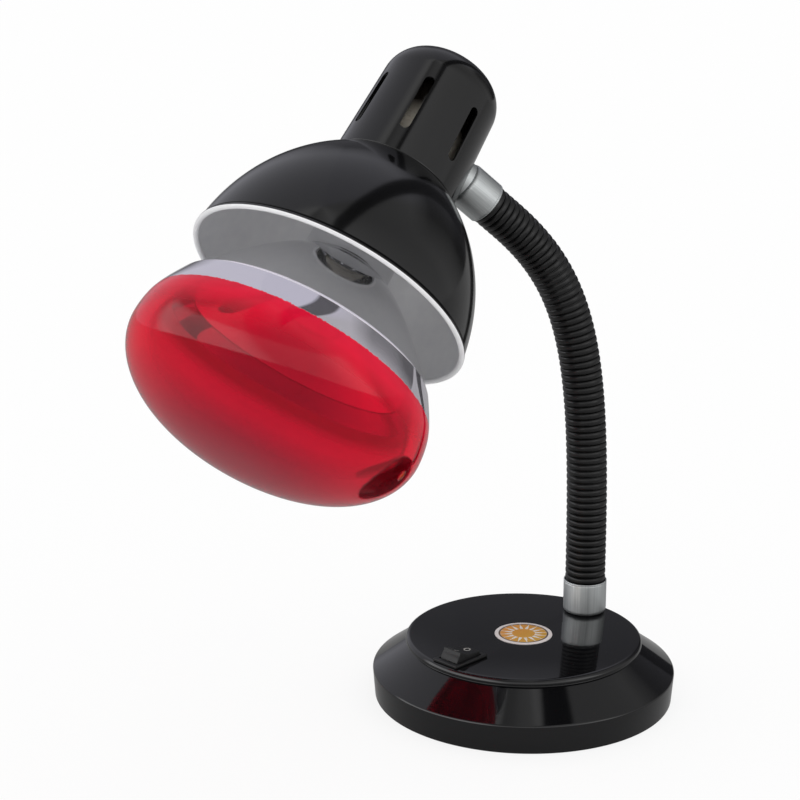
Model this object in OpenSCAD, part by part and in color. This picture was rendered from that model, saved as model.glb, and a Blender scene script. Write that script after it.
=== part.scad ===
// Infrared heat lamp on a weighted round base.
// A red reflector bulb hangs in an enamelled shade. A sleeved gooseneck carries the head.
// Origin: centre of the base on the table top. +Z is up and the neck stands on the +Y side.

/* [Base] */
// Widest diameter of the base, at the crease between skirt and cone
base_d = 131; // [126:1:138]
// Height of that crease above the table
crease_z = 12.5; // [12:0.5:14]
// Width of the sloped ring, from the crease in to the raised top disc
ring_w = 14.3; // [12.5:0.1:15]
// Height of the top disc's flat above the table
disc_z = 26.7; // [26:0.1:29]
// Wall of the moulded base cover
cover_wall = 2.2; // [1.8:0.1:2.4]
// Thickness of the cast iron weight
ballast_h = 10; // [7:0.5:10.5]
// Space between the cast iron weight and the screw bosses
ballast_gap = 1; // [1:0.5:5]
// Width of the bottom plate that shows round the foam pad
pad_margin = 2.9; // [1:0.1:2.9]

/* [Switch] */
// Distance from the switch's centre in to the disc's edge
switch_edge = 11.2; // [11:0.2:14]
// Length of the switch bezel, along Y
bezel_l = 20; // [19:0.5:21]
// Width of the switch bezel
bezel_w = 14.4; // [14:0.2:15]
// Angle that the rocker swings between off and on
rocker_throw = 24; // [18:1:26]

/* [Neck] */
// Distance from the neck's centre in to the disc's edge
neck_edge = 10.2; // [10.2:0.2:13]
// Outer diameter of the corrugated sleeve
sleeve_d = 17.8; // [17:0.2:18]
// Distance from one rib of the sleeve to the next
rib_pitch = 2.9; // [2.7:0.1:3.2]
// Depth of the grooves between the ribs
rib_depth = 0.8; // [0.5:0.1:1]
// Outer diameter of both ferrules
ferrule_d = 19.1; // [19:0.1:21]
// Length of both ferrules
ferrule_l = 15; // [14:0.5:18]
// How far the neck keeps the foot's upright direction
foot_pull = 103; // [90:1:115]
// How far the neck keeps the head ferrule's direction
head_pull = 57; // [45:1:65]

/* [Head place] */
// Sideways place of the shade's rim centre
head_x = -30; // [-36:1:-24]
// Fore-and-aft place of the shade's rim centre
head_y = -87; // [-93:1:-81]
// Height of the shade's rim centre
head_z = 184; // [178:1:192]
// Tilt of the head's axis from upright
head_tilt = 45.4; // [42:0.1:48]
// Turn of the head about the vertical
head_turn = 7.4; // [4:0.1:10]
// Roll of the head about its own axis, which turns the arm's side
head_roll = -24; // [-28:1:-20]

/* [Shade and cap] */
// Diameter of the shade's rim
shade_d = 117; // [116:0.5:119]
// Sheet thickness of the shade
shade_wall = 1; // [0.8:0.1:1.2]
// Sheet thickness of the socket cap
cap_wall = 1.2; // [1:0.1:1.4]
// Number of vent slots in the cap
slot_count = 5; // [3:2:5]
// Width of each vent slot
slot_w = 4.2; // [3:0.1:5]
// Height of the arm's fixing above the rim plane
arm_s = 80.6; // [79:0.2:82]

/* [Bulb] */
// Largest diameter of the reflector bulb
bulb_d = 125; // [120:1:127]
// Distance from the rim plane down to the widest ring of the bulb
bulb_wide_s = 44.4; // [43:0.2:48]
// Depth of the domed face below the widest ring
face_h = 32.3; // [29:0.1:35]
// Wall of the bulb's glass
glass = 1.2; // [1:0.1:1.4]

/* [Hidden] */
$fn = 96;
eps = 0.01;

// Fits and clearances
slide_gap = 0.15;
pivot_gap = 0.05;
thread_gap = 0.05;
hole_gap = 0.1;
shell_gap = 0.08;
ball_gap = 0.25;

// Base
base_r = base_d / 2;
disc_r = base_r - ring_w;
skirt_z = 0.8;
skirt_draft = 1;
cone_r = disc_r - 1;
cone_z = disc_z - 3.3;
lip_r = 2;
plate_z = 1.2;
plate_h = 2;
plate_gap = 0.4;
plate_top = plate_z + plate_h;
slope_l = norm([base_r - cone_r, cone_z - crease_z]);
slope_r = (base_r - cone_r) / slope_l;
slope_z = (cone_z - crease_z) / slope_l;
inner_r = disc_r - 1 - cover_wall;
plate_r = base_r - cover_wall - skirt_draft - plate_gap;
boss_inset = 5.9;
boss_ring_r = plate_r - boss_inset;
boss_start = 30;
boss_r = 4;
boss_h = 20;
cover_screw_l = 8.5;
pilot_r = 1.3;
screw_r = pilot_r - thread_gap;
badge_r = 12.5;
badge_h = 0.3;
ballast_r = boss_ring_r - boss_r - ballast_gap;
ballast_hub_r = 27;
ballast_hub_h = 6;
ballast_screw_r = ballast_hub_r - 3;
ballast_screw_l = 7.5;
ballast_pilot_h = 8;
bay_gap = 4;

// Cord inlet at the rear
cord_bore_r = 3;
bushing_r = 4.1;
bushing_flange_r = 5;
bushing_flange_h = 1.6;
cord_z = plate_top + bushing_r + slide_gap;

// Switch
switch_y = disc_r - switch_edge;
bezel_h = 2;
body_l = bezel_l - 2.2;
body_w = bezel_w - 2.2;
body_h = 12;
well_l = bezel_l - 4.6;
well_w = bezel_w - 4;
well_h = 9;
rocker_w = well_w - 0.8;
rocker_r = well_l / 2 - 0.35;
pivot_drop = 2.8;
pivot_z = disc_z + bezel_h - pivot_drop;
rocker_rise = pivot_drop + 1.2;
pin_r = 1.2;
cutout_gap = 0.15;

// Ferrules, nipples and nuts
ferrule_r = ferrule_d / 2;
sleeve_r = sleeve_d / 2;
mouth = 6;
nipple_r = 5;
nipple_bore_r = 3.6;
nut_flats = 13;
nut_h = 3;
washer_r = 6.8;
washer_h = 1;

// Neck
links = 10;
stub = 12;
core_r = 6.3;
core_bore_r = 2.6;
sleeve_bore_r = core_r + 0.1;
ball_r = 5;
neck_waist_r = 3.9;
shoulder_z = 5.4;
sleeve_gap = 2.2;
neck_y = disc_r - neck_edge;
foot_top = [0, neck_y, disc_z + ferrule_l];

// Head, measured along its axis from the rim plane, towards the cap
dome_r = 81.8;
bead_r = 1.2;
seat_s = 59.4;
cap_taper = 0.0404;
cap_r = 26.2;
cap_ref_s = 77.6;
cap_top_s = 117.9;
cap_round = 15;
collar_r = 25.3;
collar_h = 4;
slot_low_s = 70;
slot_high_s = 96.5;
slot_step = 52;
dome_low = [shade_d / 2 + bead_r / 2, bead_r];
dome_high = [cap_r + cap_taper * (cap_ref_s - seat_s) - 0.2, seat_s];
dome_chord = dome_high - dome_low;
dome_back = sqrt(dome_r * dome_r - dome_chord * dome_chord / 4) / norm(dome_chord);
dome_c = (dome_low + dome_high) / 2 - dome_back * [dome_chord[1], -dome_chord[0]];
arm_wall_r = cap_r + cap_taper * (cap_ref_s - arm_s);
saddle_t = 1.3;
arm_seat = arm_wall_r + saddle_t;
strap_t = 1.5;
strap_w = 14;
strap_sag = 1.1;
strap_top_s = 109.7;
strap_bend_s = 95;
strap_half = 11;
strap_screw_y = 7.5;
strap_screw_r = 1.5;
nut_seat = arm_wall_r - cap_wall - strap_sag - strap_t;

// Lampholder and bulb
holder_r = 18.5;
holder_low_s = 71;
holder_well_s = 104.5;
holder_shoulder_s = 97;
holder_top_s = strap_top_s - strap_t;
screw_cap_r = 13.2;
shell_bore_r = screw_cap_r + shell_gap;
shell_t = 0.5;
shell_l = 27;
tip_s = 101.3;
bulb_r = bulb_d / 2;
ridge_up = 22.9;
ridge_arc_r = 38.3;
ridge_s = ridge_up - bulb_wide_s;
neck_s = 74;
neck_r = screw_cap_r - 0.6;
ridge_r = bulb_r - ridge_arc_r + sqrt(ridge_arc_r * ridge_arc_r - ridge_up * ridge_up);
filament_ring_r = 13;
filament_s = -4;
filament_wire_r = 0.6;
support_r = 0.4;
stem_tip_s = 8;
stem_tip_r = 2.2;
stem_seat_r = neck_r - glass - thread_gap;

// Points of an arc about c, from angle a0 to angle a1
function arc(c, r, a0, a1, n = 10) =
    [for (i = [0 : n]) c + r * [cos(a0 + (a1 - a0) * i / n), sin(a0 + (a1 - a0) * i / n)]];

// Point of a cubic curve with end points a and d and handles b and c
function curve(a, b, c, d, t) =
    pow(1 - t, 3) * a + 3 * t * pow(1 - t, 2) * b + 3 * t * t * (1 - t) * c + pow(t, 3) * d;

function reversed(list) = [for (i = [len(list) - 1 : -1 : 0]) list[i]];

// A direction or point of the head, turned into the lamp's frame
function spin_z(p, a) = [p[0] * cos(a) - p[1] * sin(a), p[0] * sin(a) + p[1] * cos(a), p[2]];
function spin_x(p, a) = [p[0], p[1] * cos(a) - p[2] * sin(a), p[1] * sin(a) + p[2] * cos(a)];
function head_dir(p) = spin_z(spin_x(spin_z(p, head_roll), -head_tilt), head_turn);
function head_point(p) = [head_x, head_y, head_z] + head_dir(p);

// Neck route: an upright stub at the foot, a smooth curve, and a straight stub at the head
arm_dir = head_dir([0, 1, 0]);
arm_end = head_point([0, arm_seat + ferrule_l, arm_s]);
curve_a = foot_top + [0, 0, stub];
curve_b = foot_top + [0, 0, foot_pull];
curve_c = arm_end + arm_dir * head_pull;
curve_d = arm_end + arm_dir * stub;
joints = [for (i = [0 : links]) curve(curve_a, curve_b, curve_c, curve_d, i / links)];

// Segment 1 is the foot's stub, the last one is the head's stub, both let into their ferrules
function seg_start(k) = k == 1 ? foot_top - [0, 0, mouth] : joints[k - 2];
function seg_end(k) = k == links + 2 ? arm_end - arm_dir * mouth : joints[k - 1];
function seg_len(k) = norm(seg_end(k) - seg_start(k));

// Puts a child that stands on +Z onto segment k
module on_segment(k) {
    way = (seg_end(k) - seg_start(k)) / seg_len(k);
    translate(seg_start(k))
        rotate([0, acos(way[2]), atan2(way[1], way[0])])
        children();
}

// The head's own frame: +Z along its axis towards the cap, +Y towards the arm
module on_head() {
    translate([head_x, head_y, head_z])
        rotate([0, 0, head_turn])
        rotate([-head_tilt, 0, 0])
        rotate([0, 0, head_roll])
        children();
}

// A child that stands on +Z, laid along the arm at a distance from the head's axis
module on_arm(reach) {
    on_head()
        translate([0, reach, arm_s])
        rotate([-90, 0, 0])
        children();
}

module tube(r, bore, h) {
    difference() {
        cylinder(r = r, h = h);
        translate([0, 0, -1]) cylinder(r = bore, h = h + 2);
    }
}

module hex_nut(h) {
    difference() {
        cylinder(d = nut_flats / cos(30), h = h, $fn = 6);
        translate([0, 0, -1]) cylinder(r = nipple_r + thread_gap, h = h + 2);
    }
}

module ring_of(count, r, start = 0) {
    for (i = [0 : count - 1])
        rotate([0, 0, start + i * 360 / count]) translate([r, 0, 0]) children();
}

// ---------- base ----------

// Outline of the cover: drafted skirt, crease, cone, step and rounded lip
module cover_outline() {
    polygon(concat(
        [[0, skirt_z], [base_r - skirt_draft, skirt_z], [base_r, crease_z], [cone_r, cone_z]],
        [[cone_r, cone_z + 0.6], [disc_r, cone_z + 1.1]],
        arc([disc_r - lip_r, disc_z - lip_r], lip_r, 0, 90, 8),
        [[0, disc_z]]
    ));
}

module cover_hollow() {
    skirt_in = base_r - cover_wall;
    cone_in = [base_r, crease_z] - cover_wall * [slope_z, slope_r];
    crease_in = cone_in[1] + (cone_in[0] - skirt_in) * slope_z / slope_r;
    ledge_in = cone_in[1] + (cone_in[0] - inner_r) * slope_z / slope_r;
    polygon([
        [0, 0], [skirt_in - skirt_draft, 0], [skirt_in, crease_in],
        [inner_r, ledge_in], [inner_r, disc_z - cover_wall], [0, disc_z - cover_wall]
    ]);
}

module cover_bosses() {
    intersection() {
        rotate_extrude() cover_outline();
        ring_of(3, boss_ring_r, boss_start) translate([0, 0, plate_top]) cylinder(r = boss_r, h = boss_h);
    }
}

module base_cover() {
    color([0.05, 0.05, 0.06]) difference() {
        union() {
            rotate_extrude() difference() {
                cover_outline();
                cover_hollow();
            }
            cover_bosses();
        }
        ring_of(3, boss_ring_r, boss_start) cylinder(r = pilot_r, h = plate_z + 1.5 + cover_screw_l + 0.8);
        translate([0, -switch_y, disc_z])
            cube([body_w + 2 * cutout_gap, body_l + 2 * cutout_gap, 2 * body_h + 2], center = true);
        translate([0, neck_y, disc_z - 2 * cover_wall]) cylinder(r = nipple_r + hole_gap, h = 3 * cover_wall);
        translate([0, base_r - 2 * cover_wall, cord_z])
            rotate([-90, 0, 0]) cylinder(r = bushing_r + thread_gap, h = 4 * cover_wall);
    }
}

module bottom_plate() {
    color([0.12, 0.12, 0.13]) difference() {
        translate([0, 0, plate_z]) cylinder(r = plate_r, h = plate_h);
        ring_of(3, boss_ring_r, boss_start) countersink(screw_r + hole_gap);
        ring_of(2, ballast_screw_r) countersink(screw_r + hole_gap);
    }
}

// Countersunk seat, cut from the plate's underside
module countersink(r) {
    translate([0, 0, plate_z - eps]) cylinder(r1 = r + 1.5, r2 = r, h = 1.5 + eps);
    translate([0, 0, plate_z]) cylinder(r = r, h = plate_h + 1);
}

module countersunk_screw(l) {
    translate([0, 0, plate_z]) cylinder(r1 = screw_r + 1.5, r2 = screw_r, h = 1.5);
    translate([0, 0, plate_z + 1.5 - eps]) cylinder(r = screw_r, h = l);
}

module base_screws() {
    color([0.7, 0.7, 0.72]) {
        ring_of(3, boss_ring_r, boss_start) countersunk_screw(cover_screw_l);
        ring_of(2, ballast_screw_r) countersunk_screw(ballast_screw_l);
    }
}

// Cast iron weight with a raised hub and a bay that clears the switch
module ballast_weight() {
    color([0.25, 0.24, 0.24]) difference() {
        union() {
            translate([0, 0, plate_top]) cylinder(r = ballast_r, h = ballast_h);
            translate([0, 0, plate_top]) cylinder(r = ballast_hub_r, h = ballast_h + ballast_hub_h);
        }
        translate([-body_w / 2 - bay_gap, -base_r, 0])
            cube([body_w + 2 * bay_gap, base_r - switch_y + body_l / 2 + bay_gap, disc_z]);
        ring_of(2, ballast_screw_r) cylinder(r = pilot_r, h = plate_top + ballast_pilot_h);
    }
}

// Foam pad stuck under the plate, over the screws
module base_pad() {
    color([0.08, 0.08, 0.08]) cylinder(r = plate_r - pad_margin, h = plate_z);
}

module base_badge() {
    color([0.85, 0.6, 0.15]) translate([0, 0, disc_z]) cylinder(r = badge_r, h = badge_h);
}

// Flanged grommet for the mains cord, pushed into the skirt at the rear
module cord_bushing() {
    inside_y = base_r - 2 * cover_wall - 1.2;
    flange_y = base_r + 0.02;
    color([0.07, 0.07, 0.07]) translate([0, 0, cord_z]) rotate([-90, 0, 0]) difference() {
        union() {
            translate([0, 0, inside_y]) cylinder(r = bushing_r, h = flange_y - inside_y + eps);
            translate([0, 0, flange_y]) cylinder(r = bushing_flange_r, h = bushing_flange_h);
        }
        translate([0, 0, inside_y - 1])
            cylinder(r = cord_bore_r, h = flange_y - inside_y + bushing_flange_h + 2);
    }
}

// ---------- switch ----------

module switch_housing() {
    top = disc_z + bezel_h;
    color([0.06, 0.06, 0.06]) translate([0, -switch_y, 0]) difference() {
        union() {
            translate([0, 0, disc_z + bezel_h / 2]) cube([bezel_w, bezel_l, bezel_h], center = true);
            translate([0, 0, disc_z - body_h / 2 + eps]) cube([body_w, body_l, body_h], center = true);
        }
        translate([0, 0, top - well_h / 2 + eps]) cube([well_w, well_l, well_h], center = true);
        translate([0, 0, pivot_z]) rotate([0, 90, 0])
            cylinder(r = pin_r + pivot_gap, h = well_w + 2, center = true);
    }
}

module switch_terminals() {
    low = disc_z - body_h;
    color([0.8, 0.65, 0.3]) translate([0, -switch_y, low - 3.5]) {
        for (y = [-4.8, 4.8]) translate([0, y, 0]) cube([4.8, 0.8, 7], center = true);
    }
}

// Rocker: a shallow V on top, ends rounded about the pivot and two stub pins.
// The side view is drawn at mid throw and then rolled to the off position, front end up.
module rocker_side() {
    end_a = 33;
    tip = rocker_r * cos(end_a);
    tip_z = rocker_rise + tip * tan(rocker_throw / 2);
    polygon(concat(
        [[0, rocker_rise], [-tip, tip_z]],
        arc([0, 0], rocker_r, 180 - end_a, 198, 6),
        [[-1.5, -4.2], [1.5, -4.2]],
        arc([0, 0], rocker_r, -18, end_a, 6),
        [[tip, tip_z]]
    ));
}

module switch_rocker() {
    color([0.05, 0.05, 0.05]) translate([0, -switch_y, pivot_z]) rotate([-rocker_throw / 2, 0, 0]) {
        rotate([90, 0, 90]) linear_extrude(rocker_w, center = true) rocker_side();
        rotate([0, 90, 0]) cylinder(r = pin_r, h = well_w + 1.6, center = true);
    }
}

// ---------- neck ----------

// Turned ferrule, standing on its threaded end, open at the mouth for the sleeve
module ferrule() {
    difference() {
        rotate_extrude() polygon(concat(
            [[0, 0]],
            arc([ferrule_r - 2, 2], 2, -90, 0, 8),
            [[ferrule_r, ferrule_l - 0.4], [ferrule_r - 0.3, ferrule_l], [0, ferrule_l]]
        ));
        translate([0, 0, ferrule_l - mouth]) cylinder(r = sleeve_r + slide_gap, h = mouth + 1);
        translate([0, 0, -1]) cylinder(r = nipple_r + thread_gap, h = ferrule_l);
    }
}

module foot_ferrule() {
    color([0.75, 0.77, 0.8]) translate([0, neck_y, disc_z]) ferrule();
}

module foot_nipple() {
    low = disc_z - cover_wall - washer_h - nut_h - 1;
    color([0.7, 0.7, 0.7]) translate([0, neck_y, low])
        tube(nipple_r, nipple_bore_r, disc_z + ferrule_l - mouth - 0.2 - low);
}

module foot_washer() {
    color([0.7, 0.7, 0.7]) translate([0, neck_y, disc_z - cover_wall - washer_h])
        tube(washer_r, nipple_r + hole_gap, washer_h);
}

module foot_nut() {
    color([0.7, 0.7, 0.7]) translate([0, neck_y, disc_z - cover_wall - washer_h - nut_h]) hex_nut(nut_h);
}

// Side outline of a corrugated sleeve from z0 to z1: flat-topped ribs with sloped flanks
function sleeve_outline(z0, z1) =
    let (
        count = max(1, round((z1 - z0) / rib_pitch)),
        pitch = (z1 - z0) / count,
        low = sleeve_r - rib_depth
    )
    concat([[sleeve_bore_r, z0]], [for (i = [0 : count - 1]) each [
        [low, z0 + pitch * i],
        [sleeve_r, z0 + pitch * (i + 0.22)],
        [sleeve_r, z0 + pitch * (i + 0.78)],
        [low, z0 + pitch * (i + 1)]
    ]], [[sleeve_bore_r, z1]]);

module sleeve(k) {
    z0 = k == 1 ? 0 : sleeve_gap / 2;
    z1 = seg_len(k) - (k == links + 2 ? 0 : sleeve_gap / 2);
    color([0.06, 0.06, 0.06]) on_segment(k) rotate_extrude() polygon(sleeve_outline(z0, z1));
}

// One link of the steel gooseneck: a ball at its lower end and a cup at its upper end
function ball_end() = concat(
    arc([0, 0], ball_r, -acos(core_bore_r / ball_r), acos(neck_waist_r / ball_r), 10),
    [[neck_waist_r, shoulder_z], [core_r, shoulder_z]]
);

function cup_end(l) = concat(
    [[core_r, l + 0.3]],
    arc([0, l], ball_r + ball_gap, 3, -acos(core_bore_r / (ball_r + ball_gap)), 10)
);

module core(k) {
    l = seg_len(k);
    lower = k == 1 ? [[core_bore_r, 0], [core_r, 0]] : ball_end();
    upper = k == links + 2 ? [[core_r, l], [core_bore_r, l]] : cup_end(l);
    color([0.6, 0.6, 0.62]) on_segment(k) rotate_extrude() polygon(concat(lower, upper));
}

// ---------- head ----------

module head_ferrule() {
    color([0.75, 0.77, 0.8]) on_arm(arm_seat) ferrule();
}

// Saddle washer: flat to the ferrule, hollowed to sit on the round cap
module head_saddle() {
    color([0.8, 0.8, 0.82]) difference() {
        on_arm(arm_seat - 3.2) tube(ferrule_r - 0.6, nipple_r + hole_gap, 3.2);
        on_head() rotate_extrude() cap_outline(thread_gap);
    }
}

module head_nipple() {
    low = nut_seat - nut_h - 0.2;
    color([0.7, 0.7, 0.7]) on_arm(low)
        tube(nipple_r, nipple_bore_r, arm_seat + ferrule_l - mouth - 0.2 - low);
}

module head_nut() {
    color([0.7, 0.7, 0.7]) on_arm(nut_seat - nut_h) hex_nut(nut_h);
}

function cap_edge_r(s) = cap_r + cap_taper * (cap_ref_s - s);

function cap_side(inset) =
    let (r = cap_round - inset, c = [cap_edge_r(cap_top_s - cap_round) - cap_round, cap_top_s - cap_round])
    arc(c, r, atan(cap_taper), 90, 12);

module cap_outline(grow = 0) {
    polygon(concat(
        [[0, seat_s], [cap_edge_r(seat_s) + grow, seat_s]], cap_side(-grow), [[0, cap_top_s + grow]]
    ));
}

module cap_hollow() {
    polygon(concat(
        [[0, seat_s - 1], [cap_edge_r(seat_s - 1) - cap_wall, seat_s - 1]],
        cap_side(cap_wall),
        [[0, cap_top_s - cap_wall]]
    ));
}

// Vent slots with round ends, spread about the side away from the arm
module cap_slots() {
    half = (slot_count - 1) / 2;
    for (i = [-half : half]) rotate([0, 0, -90 + i * slot_step]) {
        translate([cap_r / 2, -slot_w / 2, slot_low_s + slot_w / 2])
            cube([cap_r, slot_w, slot_high_s - slot_low_s - slot_w]);
        for (s = [slot_low_s + slot_w / 2, slot_high_s - slot_w / 2])
            translate([cap_r / 2, 0, s]) rotate([0, 90, 0]) cylinder(d = slot_w, h = cap_r);
    }
}

module socket_cap() {
    color([0.05, 0.05, 0.06]) difference() {
        on_head() difference() {
            rotate_extrude() difference() {
                cap_outline();
                cap_hollow();
            }
            cap_slots();
        }
        on_arm(cap_r / 2) cylinder(r = nipple_r + hole_gap, h = cap_r);
    }
}

// Spun shade: a dome of one long arc, a collar that the cap sits over, and a rolled bead at the rim
module shade_outline() {
    rim_a = asin((bead_r - dome_c[1]) / dome_r);
    top_a = asin((seat_s - dome_c[1]) / dome_r);
    in_r = dome_r - shade_wall;
    in_rim_a = asin((bead_r - dome_c[1]) / in_r);
    in_top_a = asin((seat_s - shade_wall - dome_c[1]) / in_r);
    polygon(concat(
        arc(dome_c, dome_r, rim_a, top_a, 16),
        [[collar_r, seat_s], [collar_r, seat_s + collar_h]],
        [[collar_r - shade_wall, seat_s + collar_h], [collar_r - shade_wall, seat_s - shade_wall]],
        arc(dome_c, in_r, in_top_a, in_rim_a, 16)
    ));
}

module lamp_shade() {
    color([0.05, 0.05, 0.06]) on_head() union() {
        rotate_extrude() shade_outline();
        rotate_extrude() translate([shade_d / 2, bead_r]) circle(r = bead_r, $fn = 32);
    }
}

// Bent steel strap, from the arm's nut up and over the lampholder
module bracket_side() {
    low = holder_low_s + 1;
    out_low = cap_edge_r(low) - cap_wall - strap_sag;
    out_high = cap_edge_r(strap_bend_s) - cap_wall - strap_sag;
    polygon([
        [out_low, low], [out_high, strap_bend_s], [out_high - 4.6, strap_top_s], [-strap_half, strap_top_s],
        [-strap_half, holder_top_s], [out_high - 5.5, holder_top_s],
        [out_high - strap_t, strap_bend_s - 0.5], [out_low - strap_t, low]
    ]);
}

module holder_bracket() {
    color([0.7, 0.7, 0.72]) difference() {
        on_head() difference() {
            rotate([90, 0, 90]) linear_extrude(strap_w, center = true) bracket_side();
            for (y = [-strap_screw_y, strap_screw_y])
                translate([0, y, holder_top_s - 1]) cylinder(r = strap_screw_r + hole_gap, h = strap_t + 2);
        }
        on_arm(holder_r - 6) cylinder(r = nipple_r + hole_gap, h = holder_r);
        on_arm(nut_seat - 2) cylinder(r = nut_flats * 0.62, h = 2);
    }
}

module bracket_screws() {
    color([0.75, 0.75, 0.78]) on_head() for (y = [-strap_screw_y, strap_screw_y]) translate([0, y, 0]) {
        translate([0, 0, strap_top_s]) cylinder(r = 2.8, h = 1.8);
        translate([0, 0, holder_well_s + 0.8])
            cylinder(r = strap_screw_r - thread_gap, h = strap_top_s - holder_well_s - 0.8 + eps);
    }
}

// Porcelain lampholder body
module holder_body() {
    color([0.93, 0.92, 0.88]) on_head() difference() {
        rotate_extrude() polygon([
            [0, holder_low_s], [holder_r - 1, holder_low_s], [holder_r, holder_low_s + 1],
            [holder_r, holder_shoulder_s], [holder_r - 3, holder_top_s], [0, holder_top_s]
        ]);
        translate([0, 0, holder_low_s - 1])
            cylinder(r = shell_bore_r + shell_t + 0.05, h = holder_well_s - holder_low_s + 1);
        for (y = [-strap_screw_y, strap_screw_y])
            translate([0, y, holder_well_s + 0.4])
                cylinder(r = strap_screw_r, h = holder_top_s - holder_well_s);
    }
}

module holder_shell() {
    color([0.8, 0.65, 0.35]) on_head() translate([0, 0, holder_low_s + 2])
        tube(shell_bore_r + shell_t, shell_bore_r, shell_l);
}

// Centre contact: a brass tongue under the well's roof
module holder_contact() {
    color([0.85, 0.7, 0.35]) on_head() {
        translate([0, 0, holder_well_s - 0.3]) cube([5, 18, 0.6], center = true);
        translate([0, 0, tip_s + 0.15]) cylinder(r = 2.4, h = holder_well_s - 0.6 - tip_s - 0.15 + eps);
    }
}

// ---------- bulb ----------

// Half outline of the face, from the axis out to the widest ring and up to the ridge
function face_side(inset) =
    let (r = bulb_r - inset, h = face_h - inset)
    concat(
        [for (i = [16 : -1 : 0]) let (a = i * 90 / 16) [r * pow(cos(a), 0.854), -bulb_wide_s - h * sin(a)]],
        [for (i = [1 : 8]) let (up = ridge_up * i / 8)
            [bulb_r - inset - ridge_arc_r + sqrt(ridge_arc_r * ridge_arc_r - up * up), up - bulb_wide_s]]
    );

module bulb_face() {
    color([0.75, 0.05, 0.12]) on_head() rotate_extrude() polygon(concat(
        face_side(0), reversed(face_side(glass))
    ));
}

// Half outline of the mirrored bowl behind the ridge, running into the bulb's neck
function bowl_side(inset) =
    let (a = [ridge_r - inset, ridge_s], d = [18.6 - inset, 36])
    concat(
        [for (i = [0 : 12]) curve(a, [38 - inset, -10], [21 - inset, 12], d, i / 12)],
        [[17 - inset, 60], [neck_r - inset, neck_s - 5], [neck_r - inset, neck_s + 8]]
    );

module bulb_reflector() {
    color([0.75, 0.76, 0.78]) on_head() rotate_extrude() polygon(concat(
        bowl_side(0), reversed(bowl_side(glass))
    ));
}

module bulb_base_shell() {
    roof = tip_s - 5;
    color([0.75, 0.72, 0.6]) on_head() rotate_extrude() polygon([
        [screw_cap_r, neck_s + 0.5], [screw_cap_r, roof - 1.5], [9.5, roof + 0.6], [5.5, roof + 0.6],
        [5.5, roof], [9, roof], [screw_cap_r - 0.55, roof - 2], [screw_cap_r - 0.55, neck_s + 0.5]
    ]);
}

// Glass insulator button with the centre contact
module bulb_base_contact() {
    roof = tip_s - 5;
    color([0.2, 0.2, 0.22]) on_head() rotate_extrude() polygon([
        [0, roof - 1.2], [5.3, roof - 1.2], [5.3, roof + 0.6], [8.6, roof + 0.6],
        [5, roof + 3.8], [4, roof + 5], [0, roof + 5]
    ]);
}

module bulb_stem() {
    color([0.8, 0.85, 0.88]) on_head() rotate_extrude() polygon([
        [0, stem_tip_s], [stem_tip_r, stem_tip_s], [2.6, stem_tip_s + 2], [2.6, 40],
        [4, 60], [stem_seat_r, neck_s + 2], [stem_seat_r, neck_s + 4], [0, neck_s + 4]
    ]);
}

// Coiled filament, drawn as its ring
module bulb_filament() {
    color([0.4, 0.4, 0.42]) on_head() translate([0, 0, filament_s])
        rotate_extrude() translate([filament_ring_r, 0]) circle(r = filament_wire_r, $fn = 24);
}

// Wires from the stem's tip out to the filament ring
module bulb_supports() {
    way = [filament_ring_r - stem_tip_r + 1, filament_s - stem_tip_s + 0.3];
    reach = norm(way) - filament_wire_r - 0.1;
    color([0.6, 0.6, 0.62]) on_head() for (i = [0 : 3]) rotate([0, 0, 45 + i * 90])
        translate([stem_tip_r - 1, 0, stem_tip_s - 0.3])
        rotate([0, atan2(way[0], way[1]), 0])
        cylinder(r = support_r, h = reach);
}

base_cover();
bottom_plate();
ballast_weight();
base_screws();
base_pad();
base_badge();
cord_bushing();
switch_housing();
switch_terminals();
switch_rocker();
foot_ferrule();
foot_nipple();
foot_washer();
foot_nut();
for (k = [1 : links + 2]) {
    sleeve(k);
    core(k);
}
head_ferrule();
head_saddle();
head_nipple();
head_nut();
socket_cap();
lamp_shade();
holder_bracket();
bracket_screws();
holder_body();
holder_shell();
holder_contact();
bulb_face();
bulb_reflector();
bulb_base_shell();
bulb_base_contact();
bulb_stem();
bulb_filament();
bulb_supports();
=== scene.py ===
# Infrared heat lamp: a red reflector bulb in an enamelled shade, on a sleeved gooseneck over a
# weighted round base. Sizes in the sections are in millimetres and each mesh is made in metres.
import math

import bmesh
import bpy
from mathutils import Matrix, Vector


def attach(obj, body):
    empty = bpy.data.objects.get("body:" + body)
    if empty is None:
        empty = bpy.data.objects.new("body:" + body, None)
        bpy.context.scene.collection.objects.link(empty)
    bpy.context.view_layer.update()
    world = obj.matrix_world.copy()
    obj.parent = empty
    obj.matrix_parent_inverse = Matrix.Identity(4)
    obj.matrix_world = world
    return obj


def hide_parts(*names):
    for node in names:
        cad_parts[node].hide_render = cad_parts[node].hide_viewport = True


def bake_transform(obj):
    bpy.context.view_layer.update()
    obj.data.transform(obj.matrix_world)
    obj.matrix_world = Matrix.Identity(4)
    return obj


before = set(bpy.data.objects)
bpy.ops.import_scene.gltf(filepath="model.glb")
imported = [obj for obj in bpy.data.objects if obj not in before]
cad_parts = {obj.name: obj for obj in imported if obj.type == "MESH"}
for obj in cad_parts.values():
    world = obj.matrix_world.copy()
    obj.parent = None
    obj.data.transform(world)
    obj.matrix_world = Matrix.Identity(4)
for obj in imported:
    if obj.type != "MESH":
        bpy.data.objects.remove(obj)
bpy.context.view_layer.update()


# ---------- camera ----------
# A 90 mm lens about 0.8 m away, a little above the shade and tilted 15 degrees down, which is
# where the photograph was taken from.
camera = bpy.data.objects.new("camera", bpy.data.cameras.new("camera"))
camera.data.lens = 90
camera.data.sensor_width = 36
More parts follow.
